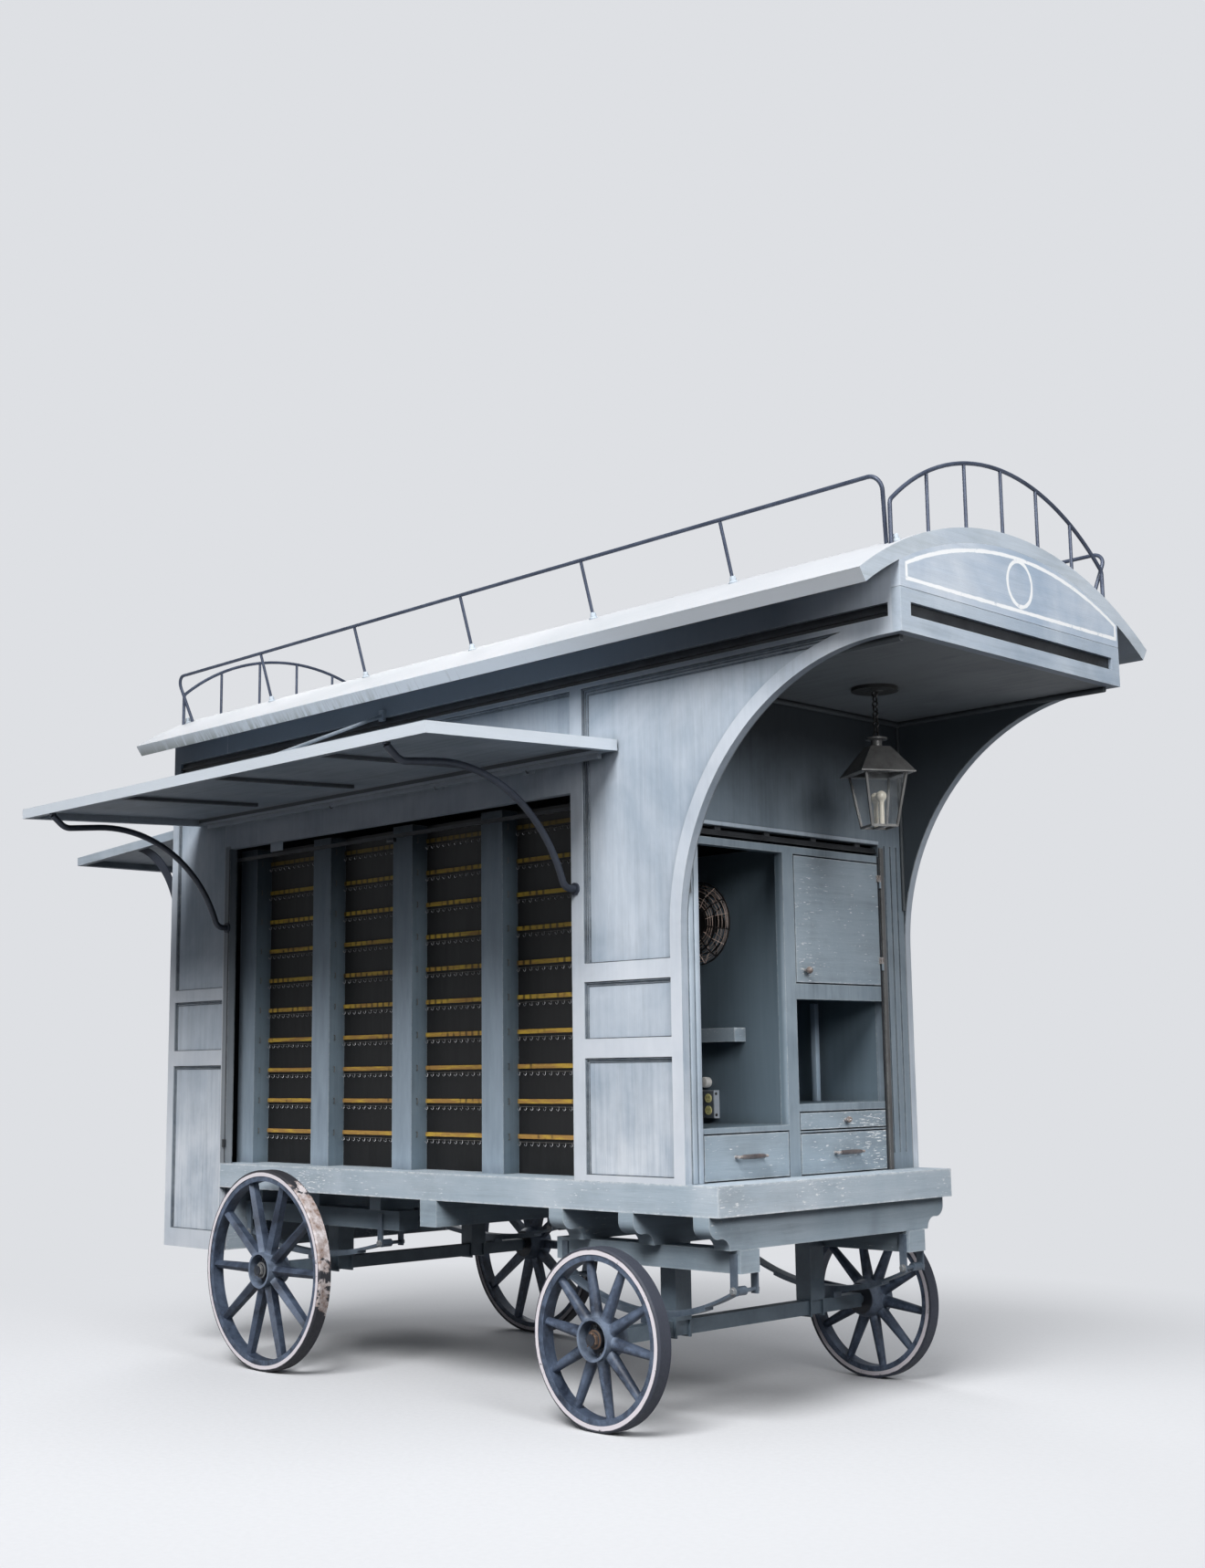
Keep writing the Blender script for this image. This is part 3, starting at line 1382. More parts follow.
class Paints:
    """The cart's finishes by name."""

    body = FramedWall(
        "body_slate_paint", SLATE, PALE_SLATE, DARK_SLATE,
        fade=0.85, chips=0.16, rubbed=0.6, soil=0.25,
    )
    shaded = ShadedPaint(
        "cabinet_slate_paint", paint(128, 143, 155), paint(160, 172, 182), paint(60, 68, 74),
        fade=0.5, chips=0.2, rubbed=0.6,
    )
    portal = ShadedPaint(
        "portal_slate_paint", paint(122, 136, 148), paint(150, 162, 172), paint(58, 66, 72),
        fade=0.5, chips=0.12, inside=-0.17, above=1.98,
    )
    deck = PaintedTimber(
        "deck_slate_paint", paint(158, 173, 185), paint(200, 208, 216), paint(98, 106, 112),
        under=paint(238, 239, 240), grain=Grain.ALONG, chips=0.66, rubbed=1.0, soil=0.3, edge_reach=0.014,
    )
    drawers = FrontPaint(
        "front_slate_paint", paint(142, 157, 169), paint(170, 182, 192), paint(82, 90, 94),
        under=paint(228, 231, 233), grain=Grain.ACROSS, chips=0.63, rubbed=0.8, fade=0.5, edge_reach=0.009,
    )
    joists = PaintedTimber(
        "joist_paint", paint(136, 152, 164), paint(174, 185, 195), paint(84, 92, 98),
        grain=Grain.ALONG, chips=0.42, rubbed=0.7,
    )
    roof = StainedRoof(
        "roof_paint", paint(174, 185, 197), paint(206, 213, 221), paint(122, 130, 126),
        grain=Grain.ALONG, chips=0.10,
    )
    awning = PaintedTimber(
        "awning_paint", paint(150, 162, 174), paint(196, 204, 212), paint(96, 104, 108),
        grain=Grain.ALONG, chips=0.15,
    )
    side_awning = AwningPaint(
        "side_awning_paint", paint(150, 162, 174), paint(196, 204, 212), paint(96, 104, 108),
        grain=Grain.ALONG, chips=0.15,
    )
    pediment = LinedPaint(
        "pediment_paint", paint(160, 176, 195), paint(204, 211, 220), paint(128, 138, 148),
        grain=Grain.ACROSS, fade=0.9, soil=0.2,
    )
    fascia = PaintedTimber(
        "fascia_paint", paint(154, 168, 184), paint(188, 198, 208), paint(106, 116, 126),
        grain=Grain.ACROSS, fade=0.8, chips=0.2,
    )
    ceiling = PaintedTimber(
        "ceiling_paint", paint(126, 131, 136), paint(144, 149, 152), paint(78, 81, 83),
        grain=Grain.ALONG, chips=0.05, fade=0.5,
    )
    posts = PostPaint(
        "rack_post_paint", paint(96, 113, 126), paint(126, 141, 152), paint(62, 72, 80),
        fade=0.5, chips=0.14,
    )
    niche_post = PaintedTimber(
        "niche_post_paint", paint(166, 186, 204), paint(190, 204, 216), paint(112, 120, 128),
        fade=0.6, chips=0.1,
    )
    jamb = PaintedTimber(
        "near_jamb_paint", paint(172, 186, 200), paint(198, 208, 218), paint(112, 120, 128),
        fade=0.6, chips=0.24,
    )
    chassis = PaintedTimber(
        "chassis_paint", paint(104, 119, 131), paint(140, 152, 162), paint(66, 72, 78),
        grain=Grain.ALONG, chips=0.2, rubbed=0.4,
    )
    iron = Iron("iron_navy", paint(58, 66, 84), paint(104, 114, 134), worn=0.35)
    arms = Iron("arm_navy", paint(40, 45, 56), paint(78, 86, 100), worn=0.25, rough=0.5)
    stay = Iron("stay_grey", paint(120, 130, 140), paint(170, 178, 186), worn=0.5)
    springs = Iron("spring_blue", paint(76, 88, 102), paint(134, 146, 158), worn=0.5)
    axle = Iron("axle_blue", paint(78, 92, 104), paint(124, 138, 148), worn=0.35, metal=0.1)
    track = Iron("track_black", paint(34, 36, 40), paint(80, 84, 88), worn=0.3)
    zinc = Iron(
        "lantern_zinc", paint(98, 98, 98), paint(146, 146, 144),
        worn=0.4, metal=0.5, rough=0.45, rust=0.35, rust_coat=paint(64, 58, 54),
    )
    dark_zinc = Iron("lantern_dark", paint(44, 44, 44), paint(96, 94, 90), worn=0.3, metal=0.4)
    box = Iron("outlet_steel", paint(178, 186, 196), paint(214, 218, 222), worn=0.4, metal=0.2, rough=0.4)
    fan = Iron("fan_dark", paint(14, 12, 12), paint(30, 25, 24), worn=0.3, metal=0.1, rough=0.6)
    frames = PaintedTimber(
        "pale_frame_paint", paint(168, 180, 192), paint(206, 214, 222), paint(96, 106, 114),
        fade=0.7, chips=0.16,
    )
    bead = PaintedTimber(
        "bead_paint", paint(78, 90, 102), paint(124, 136, 148), paint(36, 40, 44),
        grain=Grain.CLOUDY, fade=0.6, soil=0.8, chips=0.2, dirt=0.9,
    )
    shaded_bead = PaintedTimber(
        "canopy_bead_paint", paint(74, 80, 84), paint(104, 110, 114), paint(40, 42, 44),
        grain=Grain.CLOUDY, fade=0.5, soil=0.5, chips=0.1,
    )
    worn_bead = PaintedTimber(
        "worn_bead_paint", paint(92, 92, 92), paint(120, 122, 124), paint(54, 48, 44),
        fade=0.6, soil=0.7, chips=0.22,
    )
    wire = Iron("hanger_wire", paint(60, 58, 56), paint(120, 116, 110), worn=0.6, metal=0.3, rough=0.45)
    fan_wire = Iron(
        "fan_wire", paint(168, 144, 132), paint(214, 196, 186),
        worn=0.7, metal=0.1, rough=0.45, rust=0.4, rust_coat=paint(96, 66, 52),
    )
    bolts = Iron(
        "bolt_heads", paint(120, 126, 130), paint(168, 172, 174),
        worn=0.5, metal=0.5, rough=0.4, scale=30.0, rust=0.4,
    )
    hooks = Iron(
        "wire_hooks", paint(138, 138, 140), paint(196, 196, 198),
        worn=0.6, metal=0.4, rough=0.4, scale=30.0,
    )
    steel = Iron(
        "axle_nut_steel", paint(104, 106, 108), paint(150, 152, 152),
        worn=0.5, metal=0.4, rough=0.5, scale=26.0, rust=0.25,
    )
    pull = Iron(
        "pull_brown", paint(74, 70, 72), paint(150, 142, 140),
        worn=0.6, metal=0.3, rough=0.4, scale=24.0, rust=0.25,
    )
    rusty = Iron(
        "axle_nut_rust", paint(92, 74, 62), paint(134, 116, 102),
        worn=0.4, metal=0.3, rough=0.6, scale=26.0, rust=0.7, rust_coat=paint(84, 52, 38),
    )
    cover = Iron("outlet_cover", paint(104, 110, 118), paint(140, 146, 152), worn=0.3, metal=0.4, rough=0.4)
    receptacle = Iron(
        "receptacle_cream", paint(222, 214, 140), paint(240, 234, 184),
        worn=0.4, metal=0.0, rough=0.4, scale=40.0,
    )
    adapter = Iron(
        "adapter_white", paint(206, 204, 200), paint(236, 234, 230),
        worn=0.4, metal=0.0, rough=0.4, scale=30.0,
    )
    rails = RailPaint()
    back = Pegboard()
    bulb = Glow()
    glass = Glass()
    floor = StageFloor()


NODE_FINISH: dict[str, Finish] = {
    "deck": Paints.deck,
    "cross_joists": Paints.joists,
    "front_chassis_rails": Paints.joists,
    "rear_chassis_rails": Paints.chassis,
    "front_axle": Paints.axle,
    "rear_axle": Paints.axle,
    "front_leaf_springs": Paints.springs,
    "rear_leaf_springs": Paints.springs,
    "near_side_wall": Paints.body,
    "far_side_wall": Paints.body,
    "near_well_wall": Paints.body,
    "far_well_wall": Paints.body,
    "rear_wall": Paints.body,
    "rear_door": Paints.body,
    "front_wall": Paints.portal,
    "entrance_well": Paints.deck,
    "ceiling": Paints.ceiling,
    "canopy_fascia": Paints.fascia,
    "pediment": Paints.pediment,
    "roof": Paints.roof,
    "side_awning": Paints.side_awning,
    "rear_awning": Paints.awning,
    "side_railings": Paints.iron,
    "end_railings": Paints.iron,
    "side_awning_arms": Paints.arms,
    "awning_stay": Paints.stay,
    "rear_awning_brackets": Paints.arms,
    "window_track": Paints.track,
    "frieze_rails": Paints.track,
    "cabinet": Paints.shaded,
    "cupboard_frame_hinges": Paints.shaded,
    "cupboard_door": Paints.drawers,
    "counter_drawer": Paints.drawers,
    "upper_drawer": Paints.drawers,
    "lower_drawer": Paints.drawers,
    "shelf_box": Paints.drawers,
    "outlet_box": Paints.box,
    "rack_back_panel": Paints.back,
    "rack_posts": Paints.posts,
    "rack_rails": Paints.rails,
    "lantern_frame": Paints.zinc,
    "lantern_hanger": Paints.dark_zinc,
    "lantern_lamps": Paints.bulb,
    "fan_guard": Paints.fan,
    "fan_rotor": Paints.fan,
}


def dress(node: str, finish: Finish) -> None:
    """Gives a node of the frame its finish, in every material slot that it has."""
    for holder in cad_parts[node].material_slots:
        holder.material = finish.material()


class Side(Enum):
    """The cart's long sides, as the sign of y."""

    NEAR = -1
    FAR = 1

    @property
    def label(self) -> str:
        """Side's name in the names of its pieces."""
        return self.name.lower()


@dataclass
class PanelBeads:
    """Beads that line the recessed panels of the walls and of the rear door."""

    half: float = 0.6425
    recess: float = 0.009
    rows: Sequence[tuple[float, float]] = ((0.820, 1.216), (1.282, 1.479))
    tall_row: tuple[float, float] = (1.543, 2.525)
    front_bay: tuple[float, float] = (-0.607, -0.193)
    far_bays: Sequence[tuple[float, float]] = (
        (-2.830, -2.3315), (-2.2755, -1.777), (-1.721, -1.2225), (-1.1665, -0.668),
    )
    well_bay: tuple[float, float] = (-3.253, -2.874)
    well_rows: Sequence[tuple[float, float]] = ((0.512, 1.216), (1.282, 1.497), (1.550, 2.525))
    head_panel: tuple[float, float, float, float] = (-2.830, -0.668, 2.3175, 2.525)
    arch: tuple[float, float, float] = (0.719, 1.626, 0.912)
    lines: Sequence[tuple[float, float]] = ((0.0045, 0.0045), (0.0140, 0.0022))
    spandrel_lines: Sequence[tuple[float, float]] = ((0.0045, 0.0045), (0.0150, 0.0025), (0.0265, 0.0035))
    ring_radius: float = 0.0022
    door_half: float = 0.285
    door_rows: Sequence[tuple[float, float]] = ((0.560, 1.206), (1.325, 1.597), (1.716, 2.090))
    door_faces: Sequence[tuple[float, float]] = ((-3.291, -1.0), (-3.273, 1.0))

    def build(self) -> None:
        """Makes the beads of every wall and of the door."""
        for side in Side:
            rings = []
            bays = self.far_bays if side is Side.FAR else ()
            for left, right in bays:
                for low, high in (*self.rows, self.tall_row):
                    rings += self.wall_ring(side, (left, right, low, high))
            for low, high in self.rows:
                rings += self.wall_ring(side, (*self.front_bay, low, high))
            for low, high in self.well_rows:
                rings += self.wall_ring(side, (*self.well_bay, low, high))
            if side is Side.NEAR:
                rings += self.wall_ring(side, self.head_panel)
            rings += self.spandrel(side)
            fix(joined(f"{side.label}_panel_beads", rings), Paints.bead)
        rings = []
        for face, way in self.door_faces:
            for low, high in self.door_rows:
                for inset, radius in self.lines:
                    y, x = self.door_half - inset, face + way * radius * 0.4
                    corners = ((-y, low + inset), (y, low + inset), (y, high - inset), (-y, high - inset))
                    rings.append(rod("door_bead", [at(x, *corner) for corner in corners], radius, 2, True))
        fix(joined("rear_door_beads", rings), Paints.bead, "rear_door_body")

    def wall_ring(self, side: Side, panel: tuple[float, float, float, float]) -> list[Piece]:
        """Beads round one straight panel of a side wall.

        Args:
            side: Side of the cart.
            panel: Its ends along x and its foot and head.

        Returns:
            A thin ring round the panel, and the bead's lines up its rear edge and along its head.
        """
        left, right, low, high = panel
        y = side.value * (self.half - self.recess + 0.001)
        thin = self.ring_radius
        corners = (
            (left + thin, low + thin), (right - thin, low + thin),
            (right - thin, high - thin), (left + thin, high - thin),
        )
        lines = [rod("bead", [at(x, y, z) for x, z in corners], thin, 2, True)]
        for inset, radius in self.lines:
            y = side.value * (self.half - self.recess + radius * 0.4)
            corner = ((left + inset, low), (left + inset, high - inset), (right, high - inset))
            lines.append(rod("bead", [at(x, y, z) for x, z in corner], radius, 2))
        return lines

    def spandrel(self, side: Side) -> list[Piece]:
        """Beads round the tall panel that follows the canopy's arch.

        Args:
            side: Side of the cart.

        Returns:
            The pieces.
        """
        middle_x, middle_z, band = self.arch
        left, foot_end = self.front_bay
        low, high = self.tall_row
        lines = []
        for inset, radius in self.spandrel_lines:
            y = side.value * (self.half - self.recess + radius * 0.4)
            end = middle_x - math.sqrt(band ** 2 - (high - inset - middle_z) ** 2)
            points = ((left + inset, low), (left + inset, high - inset), (end, high - inset))
            lines.append(rod("bead", [at(x, y, z) for x, z in points], radius, 2))
        thin = self.ring_radius
        reach = band + thin
        top_turn = math.asin((high - thin - middle_z) / reach)
        points = [(left + thin, low + thin), (foot_end - thin, low + thin)]
        for step in range(25):
            turn = top_turn * step / 24
            points.append((middle_x - reach * math.cos(turn), middle_z + reach * math.sin(turn)))
        y = side.value * (self.half - self.recess + 0.001)
        lines.append(rod("bead", [at(x, y, z) for x, z in points], thin, 2))
        return lines


@dataclass
class WindowFittings:
    """Small fittings round the serving window: plates with hooks, the jamb seal, its latch and a stop."""

    face: float = -0.6425
    plates: Sequence[float] = (-0.883, -1.405, -2.080)
    plate_height: float = 2.265
    plate_size: tuple[float, float, float] = (0.064, 0.004, 0.034)
    hook_bend: Steps = ((0.0, 0.006), (-0.010, 0.004), (-0.014, -0.006), (-0.010, -0.013), (-0.003, -0.012))
    seal_x: float = -2.834
    seal_width: float = 0.006
    seal_foot: float = 0.804
    seal_head: float = 2.152
    stop_x: float = -1.749
    pale_plate: tuple[float, float, float] = (-2.4965, 0.089, 0.040)

    def build(self) -> None:
        """Makes the fittings on the near wall."""
        width, depth, height = self.plate_size
        plates, hooks = [], []
        for x in self.plates:
            low = at(x - width / 2, self.face - depth, self.plate_height - height / 2)
            high = at(x + width / 2, self.face + 0.001, self.plate_height + height / 2)
            plates.append(board("hook_plate", low, high, 0.0015))
            inner = Vector((0.008, -0.0015, 0.007))
            pad_high = Vector((high.x - inner.x, low.y + 0.001, high.z - inner.z))
            plates.append(board("hook_pad", low + inner, pad_high, 0.0008))
            y = self.face - depth
            points = [at(x, y + out, self.plate_height + up) for out, up in self.hook_bend]
            hooks.append(rod("plate_hook", points, 0.0022, 2))
        fix(joined("window_hook_plates", plates), Paints.frames)
        fix(joined("window_plate_hooks", hooks), Paints.track)
        half = self.seal_width / 2
        seal = board(
            "window_jamb_seal",
            at(self.seal_x - half, self.face - 0.0015, self.seal_foot),
            at(self.seal_x + half, self.face + 0.001, self.seal_head),
            0.0006,
        )
        latch = board(
            "jamb_latch",
            at(self.seal_x - 0.009, self.face - 0.009, 0.868),
            at(self.seal_x + 0.009, self.face + 0.001, 0.902),
        )
        low, high = at(self.stop_x - 0.022, -0.6085, 2.084), at(self.stop_x + 0.022, -0.5905, 2.1005)
        stop = board("track_stop", low, high, 0.002)
        fix(joined("window_seal_latch_stop", [seal, latch, stop]), Paints.track)
        middle, length, drop = self.pale_plate
        low, high = at(middle - length / 2, -0.632, 2.1555 - drop), at(middle + length / 2, -0.628, 2.1555)
        plate = board("head_plate", low, high, 0.0012)
        fix(plate, Paints.frames)


@dataclass
class RackFittings:
    """Hanger wires with hooks under the rack's rails, and small staples on its posts."""

    bay_starts: Sequence[float] = (-2.7695, -2.229, -1.6885, -1.148)
    bay: float = 0.4195
    rows: int = 10
    first: float = 0.935
    pitch: float = 0.1286
    rail_face: float = -0.4705
    hook_count: int = 12
    wire: float = 0.0016
    staple_forward: float = 0.047

    def build(self) -> None:
        """Makes the wires, the hooks and the staples."""
        wires, hooks, staples = [], [], []
        step = self.bay / self.hook_count
        for start in self.bay_starts:
            y = self.rail_face - 0.004
            z = self.first - 0.020
            end = start + self.bay - 0.004
            back = self.rail_face + 0.002
            line = [
                at(start + 0.004, back, z + 0.014), at(start + 0.010, y, z),
                at(end - 0.006, y, z), at(end, back, z + 0.014),
            ]
            wires.append(rod("hanger_wire", line, self.wire, 2))
            x = start + step / 2
            bend = ((0.000, 0.002), (0.000, -0.009), (-0.005, -0.014), (-0.011, -0.011), (-0.012, -0.006))
            hook = rod("wire_hook", [at(x, y + out, z + up) for out, up in bend], 0.0010, 1)
            hooks.append(row_of(hook, self.hook_count, Vector((step, 0, 0))))
            x = start - 0.0005
            y = self.rail_face - self.staple_forward
            bow = ((0.0, 0.010), (0.007, 0.010), (0.007, -0.010), (0.0, -0.010))
            staple = [at(x + out, y, self.first + up) for out, up in bow]
            staples.append(rod("staple", staple, 0.0016, 1))
        for name, pieces, finish in (
            ("rack_hanger_wires", wires, Paints.wire),
            ("rack_wire_hooks", hooks, Paints.hooks),
            ("rack_post_staples", staples, Paints.wire),
        ):
            fix(row_of(joined(name, pieces), self.rows, Vector((0, 0, self.pitch))), finish)


@dataclass
class CanopyTrim:
    """Mouldings and rails round the front opening and under the canopy's ceiling."""

    wall_x: float = -0.143
    inner: float = 0.6065
    ceiling: float = 2.488
    front: float = 0.764
    floor: float = 0.8
    near: float = -0.5525
    far: float = 0.4575
    head: float = 2.0
    slot: tuple[float, float] = (2.542, 2.585)
    ceiling_bead: float = 0.011
    corner_bead: float = 0.007
    arch_foot: float = 1.76
    rose: Point = (0.210, 0.0, 2.488)

    def build(self) -> None:
        """Makes the beads, the facings of the jambs, the shutter rail and the dark backs of the slots."""
        self.slot_backs()
        self.beads()
        self.jambs()
        self.shutter_rail()

    def slot_backs(self) -> None:
        """Dark strips on the floors of the slots in the fascia and the friezes."""
        low, high = self.slot
        foot, head = low + 0.001, high - 0.001
        strips = [board("slot_back", at(0.7855, -0.5915, foot), at(0.7880, 0.5915, head), 0.0008)]
        for side in Side:
            y0, y1 = sorted((side.value * 0.6280, side.value * 0.6300))
            strips.append(board("slot_back", at(-3.249, y0, foot), at(0.749, y1, head), 0.0008))
        fix(joined("slot_backs", strips), Paints.track)

    def beads(self) -> None:
        """Beads in the ceiling's corners and in the two upright corners of the canopy."""
        radius = self.ceiling_bead
        x, z, y = self.wall_x + radius * 0.8, self.ceiling - radius * 0.8, self.inner - radius * 0.8
        rods = [rod("bead", [at(x, -self.inner, z), at(x, self.inner, z)], radius, 3)]
        for side in Side:
            line = [at(self.wall_x, side.value * y, z), at(self.front, side.value * y, z)]
            rods.append(rod("bead", line, radius, 3))
            across = side.value * (self.inner - 0.005)
            corner = [at(self.wall_x + 0.005, across, height) for height in (self.arch_foot, self.ceiling)]
            rods.append(rod("bead", corner, self.corner_bead, 3))
        fix(joined("canopy_beads", rods), Paints.shaded_bead)
        rose_steps = ((0.052, 0.0), (0.052, 0.004), (0.044, 0.010), (0.018, 0.014), (0.010, 0.015))
        rose = turned("ceiling_rose", at(*self.rose), Vector((0, 0, -1)), rose_steps, 32)
        fix(rose, Paints.dark_zinc)

    def jambs(self) -> None:
        """Facings on the near jamb with a groove between them, and the dark strips beside the cupboard."""
        back, foot = self.wall_x - 0.001, self.floor + 0.001
        facings = []
        for left, right in ((-0.6045, -0.5835), (-0.5770, -0.5545)):
            low, high = at(back, left, foot), at(self.wall_x + 0.004, right, self.head - 0.001)
            facings.append(board("jamb_facing", low, high, 0.0015))
        low = at(back, self.near, self.head + 0.001)
        high = at(self.wall_x + 0.005, self.far, self.head + 0.015)
        facings.append(board("head_lip", low, high, 0.002))
        fix(joined("jamb_facings", facings), Paints.jamb)
        strips = []
        for left, right in ((0.4475, 0.4565), (0.4815, 0.4885)):
            low, high = at(back, left, foot), at(self.wall_x + 0.0015, right, 1.957)
            strips.append(board("jamb_gap", low, high, 0.0006))
        fix(joined("jamb_gap_strips", strips), Paints.track)
        bead = board("jamb_bead", at(back, 0.4585, foot), at(self.wall_x + 0.009, 0.4805, 1.990), 0.003)
        fix(bead, Paints.worn_bead)

    def shutter_rail(self) -> None:
        """Dark rail for a shutter in the gap over the cabinet, with its clips."""
        low, high = at(-0.176, self.near + 0.001, 1.968), at(-0.152, self.far - 0.001, 1.988)
        pieces = [board("shutter_rail", low, high, 0.002)]
        low, high = at(-0.152, self.near + 0.001, 1.968), at(-0.148, self.far - 0.001, 1.974)
        lip = board("shutter_lip", low, high, 0.001)
        low, high = at(-0.178, self.near + 0.10, 1.986), at(-0.150, self.near + 0.13, 2.0005)
        clip = board("rail_clip", low, high, 0.0015)
        pieces += [lip, row_of(clip, 4, Vector((0, 0.26, 0)))]
        fix(joined("shutter_rail", pieces), Paints.track)


@dataclass
class CabinetFittings:
    """Receptacles and cover of the outlet box, the adapter over it and the post inside the niche."""

    box_middle: Point = (-0.553, -0.0935, 1.047)
    spacing: tuple[float, float] = (0.0235, 0.0215)
    radius: float = 0.0165
    adapter: Point = (-0.556, -0.0655, 1.126)
    niche_post: tuple[float, float] = (-0.440, 0.4175)
    pulls: Sequence[tuple[str, float, float]] = (
        ("counter_drawer", -0.3295, 0.880), ("lower_drawer", 0.205, 0.8745),
    )
    pull_out: float = -0.117
    pull_half: float = 0.060

    def build(self) -> None:
        """Makes the fittings inside the front opening and the sleeves of the drawers' pulls."""
        for drawer, y, z in self.pulls:
            steps = (
                (0.0052, 0.0), (0.0074, 0.006), (0.0082, 0.030), (0.0086, self.pull_half),
                (0.0082, 0.090), (0.0074, 0.114), (0.0052, 0.120),
            )
            start = at(self.pull_out, y - self.pull_half, z)
            sleeve = turned("pull_sleeve", start, Vector((0, 1, 0)), steps, 16)
            fix(settle(sleeve, f"{drawer}_pull_sleeve"), Paints.pull, f"{drawer}_body")
        x, y, z = self.box_middle
        low, high = at(x - 0.048, y - 0.0022, z - 0.048), at(x + 0.048, y + 0.0005, z + 0.048)
        cover = board("outlet_cover", low, high, 0.0014)
        screw = ((0.0055, -0.0005), (0.0055, 0.0016), (0.0034, 0.0028))
        side_face = at(x + 0.050, y + 0.009, z).x
        screws = []
        for up in (-0.038, 0.038):
            base = Vector((side_face, at(0, y + 0.010, 0).y, z + up))
            screws.append(turned("box_screw", base, Vector((1, 0, 0)), screw, 14))
        fix(joined("outlet_cover", [cover]), Paints.cover)
        fix(joined("outlet_screws", screws), Paints.dark_zinc)
        faces, slots = [], []
        out = Vector((0, -1, 0))
        rim = self.radius
        steps = ((rim, -0.0005), (rim, 0.0018), (rim - 0.0015, 0.0030), (0.006, 0.0030))
        for across in (-1, 1):
            for up in (-1, 1):
                base = at(x + across * self.spacing[0], y - 0.0018, z + up * self.spacing[1])
                faces.append(turned("receptacle", base, out, steps, 28))
                for shift in (-0.0052, 0.0052):
                    low = base + Vector((shift - 0.0010, -0.0034, -0.0005))
                    slots.append(board("slot", low, low + Vector((0.0020, 0.0012, 0.0075)), 0.0003))
                low = base + Vector((-0.0018, -0.0034, -0.0095))
                slots.append(board("slot", low, low + Vector((0.0036, 0.0012, 0.0036)), 0.0008))
        fix(joined("outlet_receptacles", faces), Paints.receptacle)
        fix(joined("outlet_slots", slots), Paints.track)
        adapter_steps = ((0.0185, -0.0005), (0.0195, 0.006), (0.0195, 0.020), (0.0170, 0.027), (0.008, 0.029))
        fix(turned("outlet_adapter", at(*self.adapter), out, adapter_steps, 32), Paints.adapter)
        post_x, post_y = self.niche_post
        low, high = at(post_x - 0.012, post_y - 0.012, 1.0475), at(post_x + 0.012, post_y + 0.012, 1.4155)
        post = board("niche_post", low, high, 0.0025)
        fix(post, Paints.niche_post)


@dataclass
class FanWires:
    """Thin rings and bars of the fan's guard."""

    middle: Point = (-0.510, -0.1505, 1.700)
    rim: float = 0.150
    shoulder: float = 0.108
    face: float = 0.063
    depth: float = 0.030
    wire: float = 0.0010
    bar: float = 0.0015
    bars: int = 16

    def build(self) -> None:
        """Makes the rings and the bars on both faces of the guard."""
        rings, bars = [], []
        for way in (-1, 1):
            radii = [self.face + 0.011 + 0.011 * step for step in range(3)]
            rings += [self.ring(radius, way * self.depth) for radius in radii]
            for step in range(1, 4):
                share = step / 4
                radius = self.shoulder + (self.rim - self.shoulder) * share
                rings.append(self.ring(radius, way * self.depth * (1 - share)))
            for index in range(self.bars):
                turn = math.tau * (index + 0.5) / self.bars
                out = way * self.depth
                corners = ((self.face, out), (self.shoulder, out), (self.rim, 0.0))
                line = [self.point(radius, place, turn) for radius, place in corners]
                bars.append(rod("guard_bar", line, self.bar, 1))
        fix(joined("fan_guard_rings", rings), Paints.fan_wire)
        fix(joined("fan_guard_bars", bars), Paints.fan_wire)

    def point(self, radius: float, out: float, turn: float) -> Vector:
        """Point of the guard at a radius, a place along the fan's axis and a turn about it."""
        x, y, z = self.middle
        return at(x + radius * math.cos(turn), y + out, z + radius * math.sin(turn))

    def ring(self, radius: float, out: float) -> Piece:
        """One ring of wire about the fan's axis."""
        turns = [math.tau * step / 40 for step in range(40)]
        return rod("guard_ring", [self.point(radius, out, turn) for turn in turns], self.wire, 1, True)


@dataclass
class SpringFittings:
    """Hex heads and washers on the eye bolts of the leaf springs."""

    sets: Sequence[tuple[str, float, float, float]] = (
        ("front", -0.455, 0.398, 0.457),
        ("rear", -2.374, 0.455, 0.507),
    )
    washer: Steps = ((0.0145, -0.0005), (0.0145, 0.0020), (0.0135, 0.0026))
    head: Steps = ((0.0115, 0.0020), (0.0115, 0.0075), (0.0095, 0.0092))
    strap_faces: Sequence[tuple[float, float]] = ((0.5155, 1.0), (0.4045, -1.0))

    def build(self) -> None:
        """Makes the heads for both axles."""
        for end, x, reach, eye_z in self.sets:
            heads = []
            for side in Side:
                for place in (x - reach, x + reach):
                    for face, way in self.strap_faces:
                        axis = Vector((0, side.value * way, 0))
                        base = at(place, side.value * face, eye_z)
                        heads.append(turned("washer", base, axis, self.washer, 20))
                        heads.append(turned("hex_head", base, axis, self.head, 6))
            fix(joined(f"{end}_spring_bolt_heads", heads), Paints.bolts)


